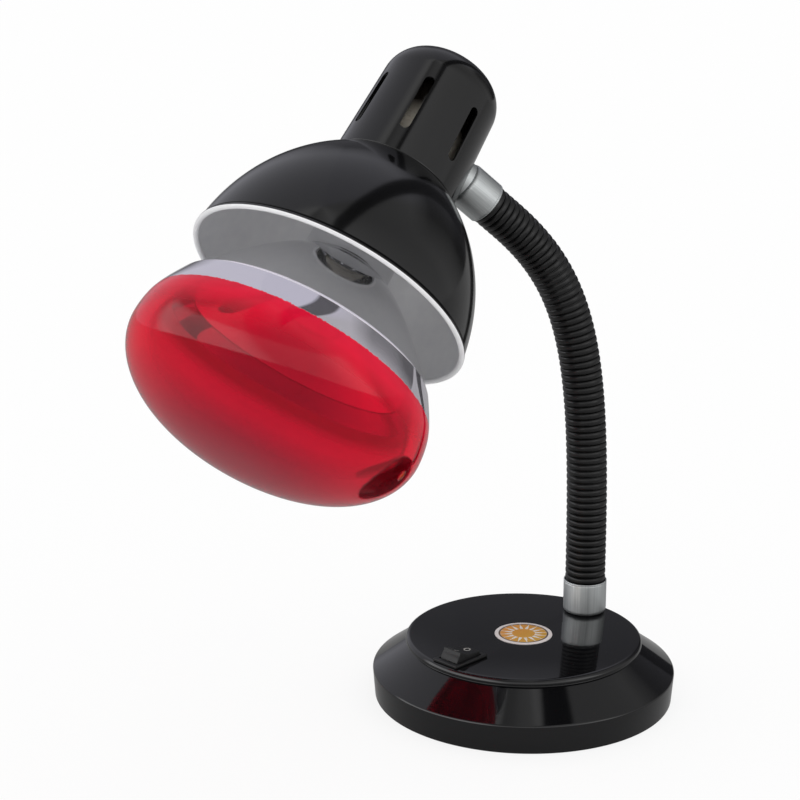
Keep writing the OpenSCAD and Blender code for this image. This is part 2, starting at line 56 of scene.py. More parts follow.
camera.location = (0.5376, -0.6115, 0.3532)
camera.rotation_euler = (math.radians(74.775), 0, math.radians(45.1))
bpy.context.scene.collection.objects.link(camera)
bpy.context.scene.camera = camera


# ---------- foam pad and bottom plate ----------
# A disc of closed-cell EVA foam, die-cut and stuck under a pressed steel plate, so that the
# lamp doesn't slide. The plate is powder coated and closes the base, and screws hold it.
def linear(code):
    """sRGB hex colour, turned to the linear values that a shader takes."""
    parts = [int(code[i:i + 2], 16) / 255 for i in (1, 3, 5)]
    return [c / 12.92 if c <= 0.04045 else ((c + 0.055) / 1.055) ** 2.4 for c in parts] + [1]


def add(tree, kind, settings, links=None):
    """Adds a node. Settings hold its properties and socket values, links {socket: (node, output)}."""
    made = tree.nodes.new(kind)
    for key, value in settings.items():
        if key == "stops":
            ramp = made.color_ramp
            while len(ramp.elements) < len(value):
                ramp.elements.new(0.5)
            for element, (place, colour) in zip(ramp.elements, value):
                element.position = place
                element.color = colour if isinstance(colour, list) else [colour] * 3 + [1]
        elif isinstance(key, int) or key in made.inputs:
            made.inputs[key].default_value = value
        else:
            setattr(made, key, value)
    for key, (source, output) in (links or {}).items():
        tree.links.new(source.outputs[output], made.inputs[key])
    return made


def start_material(name):
    """An empty material with its tree and the object's own coordinates, in metres."""
    material = bpy.data.materials.new(name)
    material.use_nodes = True
    material.node_tree.nodes.clear()
    return material, material.node_tree, add(material.node_tree, "ShaderNodeTexCoord", {})


def rounded(points, arc_steps=5):
    """Rounds each corner that carries a radius, (r, z, radius), and leaves the others sharp."""
    out = []
    for i, p in enumerate(points):
        here = Vector(p[:2])
        if len(p) < 3:
            out.append(here)
            continue
        to_a = (Vector(points[i - 1][:2]) - here).normalized()
        to_b = (Vector(points[(i + 1) % len(points)][:2]) - here).normalized()
        half = to_a.angle(to_b) / 2
        centre = here + (to_a + to_b).normalized() * p[2] / math.sin(half)
        a = here + to_a * p[2] / math.tan(half) - centre
        b = here + to_b * p[2] / math.tan(half) - centre
        turn = a.angle_signed(b)
        out += [
            centre + Matrix.Rotation(-turn * k / arc_steps, 2) @ a
            for k in range(arc_steps + 1)
        ]
    return out


def lathe(name, runs, place=Matrix(), steps=192):
    """A turned piece. Each run is (material, points (r, z) in mm); the runs join into one outline."""
    mesh = bmesh.new()
    turns = mesh.loops.layers.uv.new("turned")
    points, kinds = [], []
    for index, (_, run) in enumerate(runs):
        fresh = run[1:] if points else run
        points += [Vector(p[:2]) / 1000 for p in fresh]
        kinds += [index] * (len(run) - 1)
    if (points[0] - points[-1]).length < 1e-7:
        points.pop()
    rings = []
    for p in points:
        if p.x < 1e-7:
            rings.append([mesh.verts.new((0, 0, p.y))] * steps)
            continue
        rings.append([
            mesh.verts.new((p.x * math.cos(a), p.x * math.sin(a), p.y))
            for a in (2 * math.pi * k / steps for k in range(steps))
        ])
    run_length = 0
    for i, kind in enumerate(kinds):
        j = (i + 1) % len(points)
        step = (points[j] - points[i]).length
        for k in range(steps):
            m = (k + 1) % steps
            corners = [
                (rings[i][k], k, 0), (rings[i][m], k + 1, 0),
                (rings[j][m], k + 1, 1), (rings[j][k], k, 1),
            ]
            kept = [c for n, c in enumerate(corners) if c[0] not in [d[0] for d in corners[:n]]]
            face = mesh.faces.new([c[0] for c in kept])
            face.material_index = kind
            face.smooth = True
            for loop, (_, u, v) in zip(face.loops, kept):
                loop[turns].uv = (u / steps, run_length + v * step)
        run_length += step
    bmesh.ops.recalc_face_normals(mesh, faces=mesh.faces)
    mesh.transform(place)
    return finish_piece(name, mesh, [material for material, _ in runs])


def finish_piece(name, mesh, materials, crease=32):
    """Turns the mesh into an object, with edges sharper than crease degrees kept crisp."""
    data = bpy.data.meshes.new(name)
    mesh.to_mesh(data)
    mesh.free()
    for material in materials:
        data.materials.append(material)
    data.set_sharp_from_angle(angle=math.radians(crease))
    piece = bpy.data.objects.new(name, data)
    bpy.context.scene.collection.objects.link(piece)
    return piece


def belongs(piece, body, slot, *nodes):
    """Rides on its body and stands for the CAD nodes. The slot is not used."""
    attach(piece, body)
    if nodes:
        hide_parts(*nodes)


def dress(nodes, material):
    """Gives CAD nodes that keep their own shape a better material."""
    for node in nodes:
        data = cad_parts[node].data
        data.materials.clear()
        data.materials.append(material)


# EVA foam: cut cells about 0.4 mm wide give a dull, finely pitted black.
eva_foam, tree, coords = start_material("eva_foam")
cells = add(tree, "ShaderNodeTexVoronoi", {"Scale": 1000 / 0.4}, {"Vector": (coords, "Object")})
pits = add(tree, "ShaderNodeBump", {"Strength": 0.6, "Distance": 0.0001}, {"Height": (cells, "Distance")})
tone = add(tree, "ShaderNodeValToRGB", {"stops": [(0, linear("#101010")), (1, linear("#242424"))]},
           {"Fac": (cells, "Distance")})
foam = add(tree, "ShaderNodeBsdfPrincipled", {"Roughness": 0.85, "IOR": 1.45},
           {"Base Color": (tone, "Color"), "Normal": (pits, "Normal")})
add(tree, "ShaderNodeOutputMaterial", {}, {"Surface": (foam, "BSDF")})

pad_radius = 59
pad_top = 1.2
pad = lathe("foam_pad", [(eva_foam, rounded([
    (0, 0), (pad_radius, 0, 0.4), (pad_radius, pad_top, 0.2), (0, pad_top),
]))], steps=96)
belongs(pad, "base", "rubber", "base_pad")

# Powder coat: baked polyester with an orange-peel pebble about 0.6 mm across.
powder_coat, tree, coords = start_material("powder_coat")
pebble = add(tree, "ShaderNodeTexNoise", {"Scale": 1000 / 0.6, "Detail": 3}, {"Vector": (coords, "Object")})
relief = add(tree, "ShaderNodeBump", {"Strength": 0.4, "Distance": 0.00006}, {"Height": (pebble, "Fac")})
gloss = add(tree, "ShaderNodeMapRange", {"To Min": 0.38, "To Max": 0.55}, {"Value": (pebble, "Fac")})
coat = add(tree, "ShaderNodeBsdfPrincipled", {"Base Color": linear("#161617"), "IOR": 1.5},
           {"Roughness": (gloss, "Result"), "Normal": (relief, "Normal")})
add(tree, "ShaderNodeOutputMaterial", {}, {"Surface": (coat, "BSDF")})
dress(["bottom_plate"], powder_coat)


# ---------- ballast weight ----------
# A thick disc of grey iron, sand cast, with a hub round the neck's nut and a bay for the switch.
# Two screws through the plate hold it, and it keeps the lamp standing when the neck leans out.

# Sand-cast skin: coarse grains and a dull grey with warmer patches.
cast_iron, tree, coords = start_material("sand_cast_iron")
grain = add(tree, "ShaderNodeTexNoise", {"Scale": 1000 / 0.9, "Detail": 5}, {"Vector": (coords, "Object")})
patch = add(tree, "ShaderNodeTexNoise", {"Scale": 1000 / 14, "Detail": 2}, {"Vector": (coords, "Object")})
relief = add(tree, "ShaderNodeBump", {"Strength": 0.8, "Distance": 0.0002}, {"Height": (grain, "Fac")})
tone = add(tree, "ShaderNodeValToRGB",
           {"stops": [(0.35, linear("#3A3938")), (0.7, linear("#544C46"))]}, {"Fac": (patch, "Fac")})
iron = add(tree, "ShaderNodeBsdfPrincipled", {"Metallic": 1, "Roughness": 0.62},
           {"Base Color": (tone, "Color"), "Normal": (relief, "Normal")})
add(tree, "ShaderNodeOutputMaterial", {}, {"Surface": (iron, "BSDF")})
dress(["ballast_weight"], cast_iron)


# ---------- base screws ----------
# Three steel screws hold the plate to the cover's bosses and two hold the weight. They are cold
# headed with rolled threads and zinc plated, as the neck's nuts and tubes are.

# Zinc plate on steel, blue passivated: a cool grey with a faint warm cast in patches.
zinc_plate, tree, coords = start_material("zinc_plate")
cloud = add(tree, "ShaderNodeTexNoise", {"Scale": 1000 / 3, "Detail": 3}, {"Vector": (coords, "Object")})
tone = add(tree, "ShaderNodeValToRGB",
           {"stops": [(0.3, linear("#B4BAC2")), (0.7, linear("#CFCBC0"))]}, {"Fac": (cloud, "Fac")})
dull = add(tree, "ShaderNodeMapRange", {"To Min": 0.2, "To Max": 0.34}, {"Value": (cloud, "Fac")})
zinc = add(tree, "ShaderNodeBsdfPrincipled", {"Metallic": 1},
           {"Base Color": (tone, "Color"), "Roughness": (dull, "Result")})
add(tree, "ShaderNodeOutputMaterial", {}, {"Surface": (zinc, "BSDF")})
dress(["base_screws"], zinc_plate)


# ---------- base cover ----------
# One injection-moulded shell of gloss black ABS: a drafted skirt, a crease, a sloped ring and a
# raised disc with a soft lip. Three screws from below hold it down to the plate.
def cut(piece, cutters):
    """Cuts the cutters out of the piece and drops them."""
    for cutter in cutters:
        step = piece.modifiers.new("cut", "BOOLEAN")
        step.object = cutter
        step.solver = "EXACT"
    evaluated = piece.evaluated_get(bpy.context.evaluated_depsgraph_get())
    shape = bpy.data.meshes.new_from_object(evaluated)
    piece.modifiers.clear()
    piece.data = shape
    for cutter in cutters:
        bpy.data.objects.remove(cutter)
    shape.set_sharp_from_angle(angle=math.radians(32))


def block(name, low, high, place=Matrix()):
    """A box between two corners in mm, for cutting with."""
    mesh = bmesh.new()
    bmesh.ops.create_cube(mesh, size=1)
    size = [(h - l) / 1000 for l, h in zip(low, high)]
    middle = [(h + l) / 2000 for l, h in zip(low, high)]
    mesh.transform(place @ Matrix.Translation(middle) @ Matrix.Diagonal(size + [1]))
    return finish_piece(name, mesh, [])


# ABS off a polished tool: near-black, clear reflections that wave a little over 6 mm.
gloss_abs, tree, coords = start_material("gloss_black_abs")
wave = add(tree, "ShaderNodeTexNoise", {"Scale": 1000 / 6, "Detail": 1}, {"Vector": (coords, "Object")})
ripple = add(tree, "ShaderNodeBump", {"Strength": 0.12, "Distance": 0.00008}, {"Height": (wave, "Fac")})
haze = add(tree, "ShaderNodeTexNoise", {"Scale": 1000 / 0.8, "Detail": 3}, {"Vector": (coords, "Object")})
shine = add(tree, "ShaderNodeMapRange", {"To Min": 0.04, "To Max": 0.09}, {"Value": (haze, "Fac")})
abs_surface = add(tree, "ShaderNodeBsdfPrincipled", {"Base Color": linear("#08080A"), "IOR": 1.53},
                  {"Roughness": (shine, "Result"), "Normal": (ripple, "Normal")})
add(tree, "ShaderNodeOutputMaterial", {}, {"Surface": (abs_surface, "BSDF")})

# The disc's top and underside, the crease where the skirt is widest, and the skirt's foot, just
# clear of the floor.
disc_top = 26.7
disc_under = 24.5
crease_radius = 65.5
crease_height = 12.5
foot_clear = 0.15
cover = lathe("base_cover_shell", [(gloss_abs, rounded([
    (0, disc_top), (51.2, disc_top, 2), (51.2, 24.5, 0.2), (50.2, 24.0, 0.2), (50.2, 23.4, 0.3),
    (crease_radius, crease_height, 1.2), (64.5, foot_clear, 0.4), (61.4, foot_clear, 0.3),
    (62.3, 12.0, 1), (48, 21.3, 0.5), (48, disc_under, 0.5), (0, disc_under),
], 6))], steps=256)

# Places on the cover: switch and neck along y, and the cord inlet's height at the back.
switch_y = -40
neck_y = 41
inlet_height = 7.45
neck_hole = 5.1
inlet_hole = 4.15
cut(cover, [
    block("switch_cutout", (-6.25, switch_y - 9.05, 13.7), (6.25, switch_y + 9.05, 30)),
    lathe("neck_hole", [(None, [(0, 20), (neck_hole, 20), (neck_hole, 30), (0, 30)])],
          Matrix.Translation((0, neck_y / 1000, 0)), steps=48),
    lathe("cord_hole", [(None, [(0, -8), (inlet_hole, -8), (inlet_hole, 8), (0, 8)])],
          Matrix.Translation((0, 0.063, inlet_height / 1000)) @ Matrix.Rotation(math.pi / 2, 4, "X"),
          steps=48),
])
belongs(cover, "base", "gloss_black_abs", "base_cover")


# ---------- badge ----------
# A round foil sticker under a clear film, stuck in the middle of the disc. It has a pale rim, a
# thin dark ring and a gold field with plain rays.
badge_radius = 12.5
badge_top = 27

# Printed foil: gold ink over bright foil, a little warmer towards one side. Reach runs from 0 in
# the middle to 1 at the edge, and 16 rays start at 0.4 of it and narrow outwards.
badge_foil, tree, coords = start_material("badge_foil")
place = add(tree, "ShaderNodeSeparateXYZ", {}, {"Vector": (coords, "Object")})
per_radius = 1000 / badge_radius
flat = add(tree, "ShaderNodeVectorMath", {"operation": "MULTIPLY", 1: (per_radius, per_radius, 0)},
           {0: (coords, "Object")})
reach = add(tree, "ShaderNodeVectorMath", {"operation": "LENGTH"}, {0: (flat, "Vector")})
around = add(tree, "ShaderNodeMath", {"operation": "ARCTAN2"}, {0: (place, "Y"), 1: (place, "X")})
fan = add(tree, "ShaderNodeMath", {"operation": "MULTIPLY", 1: 16}, {0: (around, "Value")})
ray = add(tree, "ShaderNodeMath", {"operation": "SINE"}, {0: (fan, "Value")})
edge = add(tree, "ShaderNodeMapRange",
           {"From Min": 0.42, "From Max": 0.68, "To Min": -0.5, "To Max": 0.95},
           {"Value": (reach, "Value")})
lit = add(tree, "ShaderNodeMath", {"operation": "GREATER_THAN"}, {0: (ray, "Value"), 1: (edge, "Result")})
begins = add(tree, "ShaderNodeMath", {"operation": "GREATER_THAN", 1: 0.4}, {0: (reach, "Value")})
rays = add(tree, "ShaderNodeMath", {"operation": "MULTIPLY"}, {0: (lit, "Value"), 1: (begins, "Value")})
side = add(tree, "ShaderNodeMapRange", {"From Min": -0.012, "From Max": 0.012},
           {"Value": (place, "X")})
gold = add(tree, "ShaderNodeValToRGB", {"stops": [(0, linear("#D98A1E")), (1, linear("#C99A22"))]},
           {"Fac": (side, "Result")})
field = add(tree, "ShaderNodeMix", {"data_type": "RGBA", 7: linear("#E4DED6")},
            {0: (rays, "Value"), 6: (gold, "Color")})
rims = add(tree, "ShaderNodeValToRGB", {"stops": [
    (0.80, linear("#FFFFFF")), (0.815, linear("#4A3424")), (0.86, linear("#4A3424")),
    (0.875, linear("#E2DAD8")),
]}, {"Fac": (reach, "Value")})
outer = add(tree, "ShaderNodeMath", {"operation": "GREATER_THAN", 1: 0.807}, {0: (reach, "Value")})
ink = add(tree, "ShaderNodeMix", {"data_type": "RGBA"},
          {0: (outer, "Value"), 6: (field, 2), 7: (rims, "Color")})
film = add(tree, "ShaderNodeBsdfPrincipled",
           {"Roughness": 0.3, "IOR": 1.5, "Coat Weight": 0.5, "Coat Roughness": 0.08},
           {"Base Color": (ink, 2)})
add(tree, "ShaderNodeOutputMaterial", {}, {"Surface": (film, "BSDF")})
badge = lathe("badge_disc", [(badge_foil, rounded([
    (0, disc_top), (badge_radius, disc_top), (badge_radius, badge_top, 0.15), (0, badge_top),
]))], steps=96)
belongs(badge, "base", "badge_film", "base_badge")


# ---------- cord inlet ----------
# A flanged bushing of moulded black nylon, pressed through the skirt at the back, where a mains
# cord goes in. Its bore is open, and no cord is fitted.

# Nylon 6: dull satin off a spark-eroded tool, with a grain about 0.3 mm wide.
black_nylon, tree, coords = start_material("black_nylon")
spark = add(tree, "ShaderNodeTexNoise", {"Scale": 1000 / 0.3, "Detail": 2}, {"Vector": (coords, "Object")})
relief = add(tree, "ShaderNodeBump", {"Strength": 0.35, "Distance": 0.00003}, {"Height": (spark, "Fac")})
shine = add(tree, "ShaderNodeMapRange", {"To Min": 0.3, "To Max": 0.45}, {"Value": (spark, "Fac")})
nylon = add(tree, "ShaderNodeBsdfPrincipled", {"Base Color": linear("#121213"), "IOR": 1.53},
            {"Roughness": (shine, "Result"), "Normal": (relief, "Normal")})
add(tree, "ShaderNodeOutputMaterial", {}, {"Surface": (nylon, "BSDF")})
bushing = lathe("cord_bushing_body", [(black_nylon, rounded([
    (3, 59.9), (4.1, 59.9, 0.3), (4.1, 65.52), (5, 65.52), (5, 67.12, 0.6), (3, 67.12, 0.5), (3, 59.9),
]))], Matrix.Translation((0, 0, inlet_height / 1000)) @ Matrix.Rotation(-math.pi / 2, 4, "X"), steps=64)
belongs(bushing, "base", "black_nylon", "cord_bushing")


# ---------- rocker switch ----------
# A small snap-in rocker of moulded nylon. The bezel rests on the disc, the body goes down through
# the cutout, and the rocker turns on two stub pins. A ring marks the off end and a bar the on end.

# Fine-textured nylon, duller than the cover: a grain about 0.25 mm wide.
switch_nylon, tree, coords = start_material("switch_nylon")
spark = add(tree, "ShaderNodeTexNoise", {"Scale": 1000 / 0.25, "Detail": 2}, {"Vector": (coords, "Object")})
relief = add(tree, "ShaderNodeBump", {"Strength": 0.3, "Distance": 0.00003}, {"Height": (spark, "Fac")})
shine = add(tree, "ShaderNodeMapRange", {"To Min": 0.34, "To Max": 0.5}, {"Value": (spark, "Fac")})
nylon = add(tree, "ShaderNodeBsdfPrincipled",
            {"Base Color": linear("#0F0F10"), "IOR": 1.53, "Specular IOR Level": 0.35},
            {"Roughness": (shine, "Result"), "Normal": (relief, "Normal")})
add(tree, "ShaderNodeOutputMaterial", {}, {"Surface": (nylon, "BSDF")})

# Pad-printed ink: a dull warm white, a little uneven.
pad_ink, tree, coords = start_material("pad_print_ink")
speck = add(tree, "ShaderNodeTexNoise", {"Scale": 1000 / 0.15, "Detail": 2}, {"Vector": (coords, "Object")})
tone = add(tree, "ShaderNodeValToRGB",
           {"stops": [(0.3, linear("#8E8C88")), (0.7, linear("#B9B7B2"))]}, {"Fac": (speck, "Fac")})
ink = add(tree, "ShaderNodeBsdfPrincipled", {"Roughness": 0.6}, {"Base Color": (tone, "Color")})
add(tree, "ShaderNodeOutputMaterial", {}, {"Surface": (ink, "BSDF")})


def soften(piece, width, segments=3):
    """Breaks the piece's sharp edges by a small round, in mm."""
    step = piece.modifiers.new("edges", "BEVEL")
    step.width = width / 1000
    step.segments = segments
    step.limit_method = "ANGLE"
    step.angle_limit = math.radians(35)
    evaluated = piece.evaluated_get(bpy.context.evaluated_depsgraph_get())
    piece.data = bpy.data.meshes.new_from_object(evaluated)
    piece.modifiers.clear()
    piece.data.set_sharp_from_angle(angle=math.radians(50))


# Half width and half length of the bezel, the body and the well, and the pivot's height.
bezel_x, bezel_y = 6.8, 9.7
body_x, body_y = 6.1, 8.9
well_x, well_y = 5.2, 7.7
pivot = Matrix.Translation((0, switch_y / 1000, 0.0259))
bezel = block("switch_bezel", (-bezel_x, switch_y - bezel_y, disc_top),
              (bezel_x, switch_y + bezel_y, 28.1))
bezel.data.materials.append(switch_nylon)
soften(bezel, 0.45)
cut(bezel, [block("well_top", (-well_x, switch_y - well_y, 20), (well_x, switch_y + well_y, 30))])
switch_body = block("switch_body", (-body_x, switch_y - body_y, 14.7),
                    (body_x, switch_y + body_y, disc_top))
switch_body.data.materials.append(switch_nylon)
cut(switch_body, [
    block("well", (-well_x, switch_y - well_y, 19.7), (well_x, switch_y + well_y, 30)),
    lathe("pin_bore", [(None, [(0, -6), (1.25, -6), (1.25, 6), (0, 6)])],
          pivot @ Matrix.Rotation(math.pi / 2, 4, "Y"), steps=32),
])
belongs(bezel, "base", "switch_plastic", "switch_housing")
belongs(switch_body, "base", "switch_plastic", "switch_housing")

# The rocker's side view at mid throw, y and z in mm from the pivot, rolled half its throw to off.
# Its two round ends share one radius about the pivot, and its top is a shallow V.
throw = math.radians(24)
end_radius = 7.35
top_middle = 4
tip = end_radius * math.cos(math.radians(33))
tip_height = top_middle + tip * math.tan(throw / 2)


def round_end(first, last):
    """Points round an end of the rocker between two angles in degrees."""
    return [(end_radius * math.cos(math.radians(a)), end_radius * math.sin(math.radians(a)))
            for a in range(first, last + 1, 6)]


side_view = [(0, top_middle), (-tip, tip_height), *round_end(147, 195), (-1.5, -4.2), (1.5, -4.2),
             *round_end(-18, 30), (tip, tip_height)]
rocker_off = pivot @ Matrix.Rotation(-throw / 2, 4, "X")
mesh = bmesh.new()
left = [mesh.verts.new((-0.0048, y / 1000, z / 1000)) for y, z in side_view]
right = [mesh.verts.new((0.0048, y / 1000, z / 1000)) for y, z in side_view]
mesh.faces.new(left)
mesh.faces.new(reversed(right))
for k in range(len(side_view)):
    mesh.faces.new((left[k], right[k], right[k - 1], left[k - 1]))
bmesh.ops.recalc_face_normals(mesh, faces=mesh.faces)
for face in mesh.faces:
    face.smooth = True
mesh.transform(rocker_off)
rocker = finish_piece("rocker_body", mesh, [switch_nylon])
soften(rocker, 0.35)
pins = lathe("rocker_pins", [(switch_nylon, [(0, -6), (1.2, -6), (1.2, 6), (0, 6)])],
             rocker_off @ Matrix.Rotation(math.pi / 2, 4, "Y"), steps=32)
belongs(rocker, "rocker", "switch_plastic", "switch_rocker")
belongs(pins, "rocker", "switch_plastic", "switch_rocker")

# Marks on the two halves of the top: a ring towards the back and a bar towards the front.
# Each is a film of ink 0.03 mm thick that lies on its slope, 3.4 mm from the middle.
for name, away in (("off_mark", 1), ("on_mark", -1)):
    seat = (rocker_off @ Matrix.Translation((0, 0, 0.00401))
            @ Matrix.Rotation(away * throw / 2, 4, "X") @ Matrix.Translation((0, away * 0.0034, 0)))
    if name == "off_mark":
        ring = [(1.05, 0), (1.5, 0), (1.5, 0.03), (1.05, 0.03), (1.05, 0)]
        mark = lathe(name, [(pad_ink, ring)], seat, steps=48)
    else:
        mark = block(name, (-0.22, -1.4, 0), (0.22, 1.4, 0.03), seat)
        mark.data.materials.append(pad_ink)
    belongs(mark, "rocker", "switch_plastic")

# Brass strip for the two tabs, cold rolled: a warm yellow with fine lines along it.
rolled_brass, tree, coords = start_material("rolled_brass")
stretch = add(tree, "ShaderNodeMapping", {"Scale": (1, 1, 0.05)}, {"Vector": (coords, "Object")})
lines = add(tree, "ShaderNodeTexNoise", {"Scale": 1000 / 0.2, "Detail": 2}, {"Vector": (stretch, "Vector")})
tone = add(tree, "ShaderNodeValToRGB",
           {"stops": [(0.3, linear("#C79B4E")), (0.7, linear("#E0C27E"))]}, {"Fac": (lines, "Fac")})
brass = add(tree, "ShaderNodeBsdfPrincipled", {"Metallic": 1, "Roughness": 0.3},
            {"Base Color": (tone, "Color")})
add(tree, "ShaderNodeOutputMaterial", {}, {"Surface": (brass, "BSDF")})
dress(["switch_terminals"], rolled_brass)


# ---------- neck fixings ----------
# Two ferrules bored from drawn steel bar and zinc plated, on short threaded tubes. The lower one
# stands on the disc with a washer and nut under it, and the upper one on a saddle at the cap.

# The head's place: the middle of the shade's rim, +Z along its axis to the cap, +Y towards the
# arm. The arm leaves the axis 80.6 mm above the rim.
head_place = (Matrix.Translation((-0.030, -0.087, 0.184)) @ Matrix.Rotation(math.radians(7.4), 4, "Z")
              @ Matrix.Rotation(math.radians(-45.4), 4, "X") @ Matrix.Rotation(math.radians(-24), 4, "Z"))
arm_place = head_place @ Matrix.Translation((0, 0, 0.0806)) @ Matrix.Rotation(-math.pi / 2, 4, "X")
foot_place = Matrix.Translation((0, neck_y / 1000, disc_top / 1000))

# Bright zinc over drawn steel: a cool grey with fine lines along the bar every 0.25 mm or so, which
# is 240 in the 60 mm round the ferrule, each about 25 mm long.
drawn_zinc, tree, coords = start_material("drawn_zinc_ferrule")
turned = add(tree, "ShaderNodeMapping", {"Scale": (240, 40, 1)}, {"Vector": (coords, "UV")})
lines = add(tree, "ShaderNodeTexNoise", {"Scale": 1, "Detail": 3}, {"Vector": (turned, "Vector")})
cloud = add(tree, "ShaderNodeTexNoise", {"Scale": 1000 / 5, "Detail": 2}, {"Vector": (coords, "Object")})
tone = add(tree, "ShaderNodeValToRGB",
           {"stops": [(0.3, linear("#BABEBF")), (0.7, linear("#DFE2E2"))]}, {"Fac": (lines, "Fac")})
dull = add(tree, "ShaderNodeMapRange", {"To Min": 0.44, "To Max": 0.54}, {"Value": (cloud, "Fac")})
relief = add(tree, "ShaderNodeBump", {"Strength": 0.15, "Distance": 0.00002}, {"Height": (lines, "Fac")})
zinc = add(tree, "ShaderNodeBsdfPrincipled", {"Metallic": 1},
           {"Base Color": (tone, "Color"), "Roughness": (dull, "Result"), "Normal": (relief, "Normal")})
add(tree, "ShaderNodeOutputMaterial", {}, {"Surface": (zinc, "BSDF")})

# A ferrule from its seat up: its bore for the tube, its mouth for the sleeve, a fine groove near
# the mouth. The head's ferrule seats 27.4 mm out along the arm.
ferrule_radius = 9.55
ferrule_length = 15
mouth_radius = 9.05
mouth_floor = 9
tube_bore = 5.05
head_seat = 27.3787
head_ferrule_place = arm_place @ Matrix.Translation((0, 0, head_seat / 1000))
for name, body, place in (("foot_ferrule", "base", foot_place),
                          ("head_ferrule", "head", head_ferrule_place)):
    ferrule = lathe(name + "_turned", [(drawn_zinc, rounded([
        (tube_bore, 0), (ferrule_radius, 0, 2), (ferrule_radius, 13.9, 0.2), (9.4, 14.1, 0.2),
        (9.4, 14.3, 0.15), (ferrule_radius, 14.5, 0.15), (ferrule_radius, ferrule_length, 0.3),
        (mouth_radius, ferrule_length, 0.2), (mouth_radius, mouth_floor, 0.2),
        (tube_bore, mouth_floor), (tube_bore, 0),
    ]))], place, steps=128)
    belongs(ferrule, body, "zinc_ferrule", name)
dress(["head_saddle"], drawn_zinc)
dress(["foot_nipple", "foot_washer", "foot_nut", "head_nipple", "head_nut"], zinc_plate)


# ---------- neck links ----------
# Twelve ball-and-cup links of spring steel in a chain. Each ball is gripped by the cup of the link
# below it, so the neck stays where it is bent, and the two end links are fixed in the ferrules.

# Spring steel, hardened and oiled: a dark straw grey with faint clouds.
oiled_steel, tree, coords = start_material("oiled_spring_steel")
cloud = add(tree, "ShaderNodeTexNoise", {"Scale": 1000 / 1.5, "Detail": 3}, {"Vector": (coords, "Object")})
tone = add(tree, "ShaderNodeValToRGB",
           {"stops": [(0.3, linear("#6E6C68")), (0.7, linear("#8F8D88"))]}, {"Fac": (cloud, "Fac")})
steel = add(tree, "ShaderNodeBsdfPrincipled", {"Metallic": 1, "Roughness": 0.32},
            {"Base Color": (tone, "Color")})
add(tree, "ShaderNodeOutputMaterial", {}, {"Surface": (steel, "BSDF")})
dress(["core_%d" % k for k in range(1, 13)], oiled_steel)


# ---------- corrugated sleeve ----------
# One length of corrugated black polyethylene tube over the gooseneck, let 6 mm into each ferrule.
# It is made in eleven lengths that meet in the middle of a link, and each covers one joint.

# Polyethylene off a corrugator: waxy satin, with a faint grain about 0.5 mm wide.
sleeve_pe, tree, coords = start_material("corrugated_polyethylene")
grain = add(tree, "ShaderNodeTexNoise", {"Scale": 1000 / 0.5, "Detail": 3}, {"Vector": (coords, "Object")})
cloud = add(tree, "ShaderNodeTexNoise", {"Scale": 1000 / 9, "Detail": 2}, {"Vector": (coords, "Object")})
relief = add(tree, "ShaderNodeBump", {"Strength": 0.25, "Distance": 0.00003}, {"Height": (grain, "Fac")})
shine = add(tree, "ShaderNodeMapRange", {"To Min": 0.3, "To Max": 0.42}, {"Value": (cloud, "Fac")})
waxy = add(tree, "ShaderNodeBsdfPrincipled",
           {"Base Color": linear("#0C0C0D"), "IOR": 1.51, "Specular IOR Level": 0.42},
           {"Roughness": (shine, "Result"), "Normal": (relief, "Normal")})
add(tree, "ShaderNodeOutputMaterial", {}, {"Surface": (waxy, "BSDF")})

# Neck route in mm, from the mouth of the foot's ferrule to the mouth of the head's: straight up, a
# smooth curve, and straight along the arm.
straight = 12
let_in = 6
up = Vector((0, 0, 1))
arm_way = (arm_place.to_3x3() @ up).normalized()
foot_top = Vector((0, neck_y, disc_top + ferrule_length))
arm_end = arm_place @ Vector((0, 0, (head_seat + ferrule_length) / 1000)) * 1000
route = [foot_top + up * straight, foot_top + up * 103, arm_end + arm_way * 57,
         arm_end + arm_way * straight]


def on_curve(t, a, b, c, d):
    """Point of a Bezier curve, with t from 0 to 1."""
    return (1 - t) ** 3 * a + 3 * t * (1 - t) ** 2 * b + 3 * t * t * (1 - t) * c + t ** 3 * d


# Fine points along the whole neck, 60 to a link, and where its eleven joints are among them.
fine_steps = 60
link_count = 10
fine = [foot_top + up * ((let_in + straight) * k / fine_steps - let_in) for k in range(fine_steps)]
joint_at = []
for k in range(link_count * fine_steps + 1):
    if k % fine_steps == 0:
        joint_at.append(len(fine))
    fine.append(on_curve(k / (link_count * fine_steps), *route))
fine += [arm_end + arm_way * (straight - (let_in + straight) * k / fine_steps)
         for k in range(1, fine_steps + 1)]
run = [0]
for a, b in zip(fine, fine[1:]):
    run.append(run[-1] + (b - a).length)
rib_spacing = 2.9
rib = run[-1] / round(run[-1] / rib_spacing)


def at_run(length):
    """Point and direction on the neck at a length along it."""
    low, high = 0, len(run) - 2
    while low < high:
        middle = (low + high + 1) // 2
        low, high = (middle, high) if run[middle] <= length else (low, middle - 1)
    way = fine[low + 1] - fine[low]
    return fine[low] + way * ((length - run[low]) / way.length), way.normalized()


def rib_radius(length):
    """Outer radius in mm: broad round crests with narrow grooves, 1 mm deep, between them."""
    off_crest = abs((length / rib) % 1 - 0.5) / 0.5
    return 7.9 + (1 - off_crest ** 3) ** 0.6


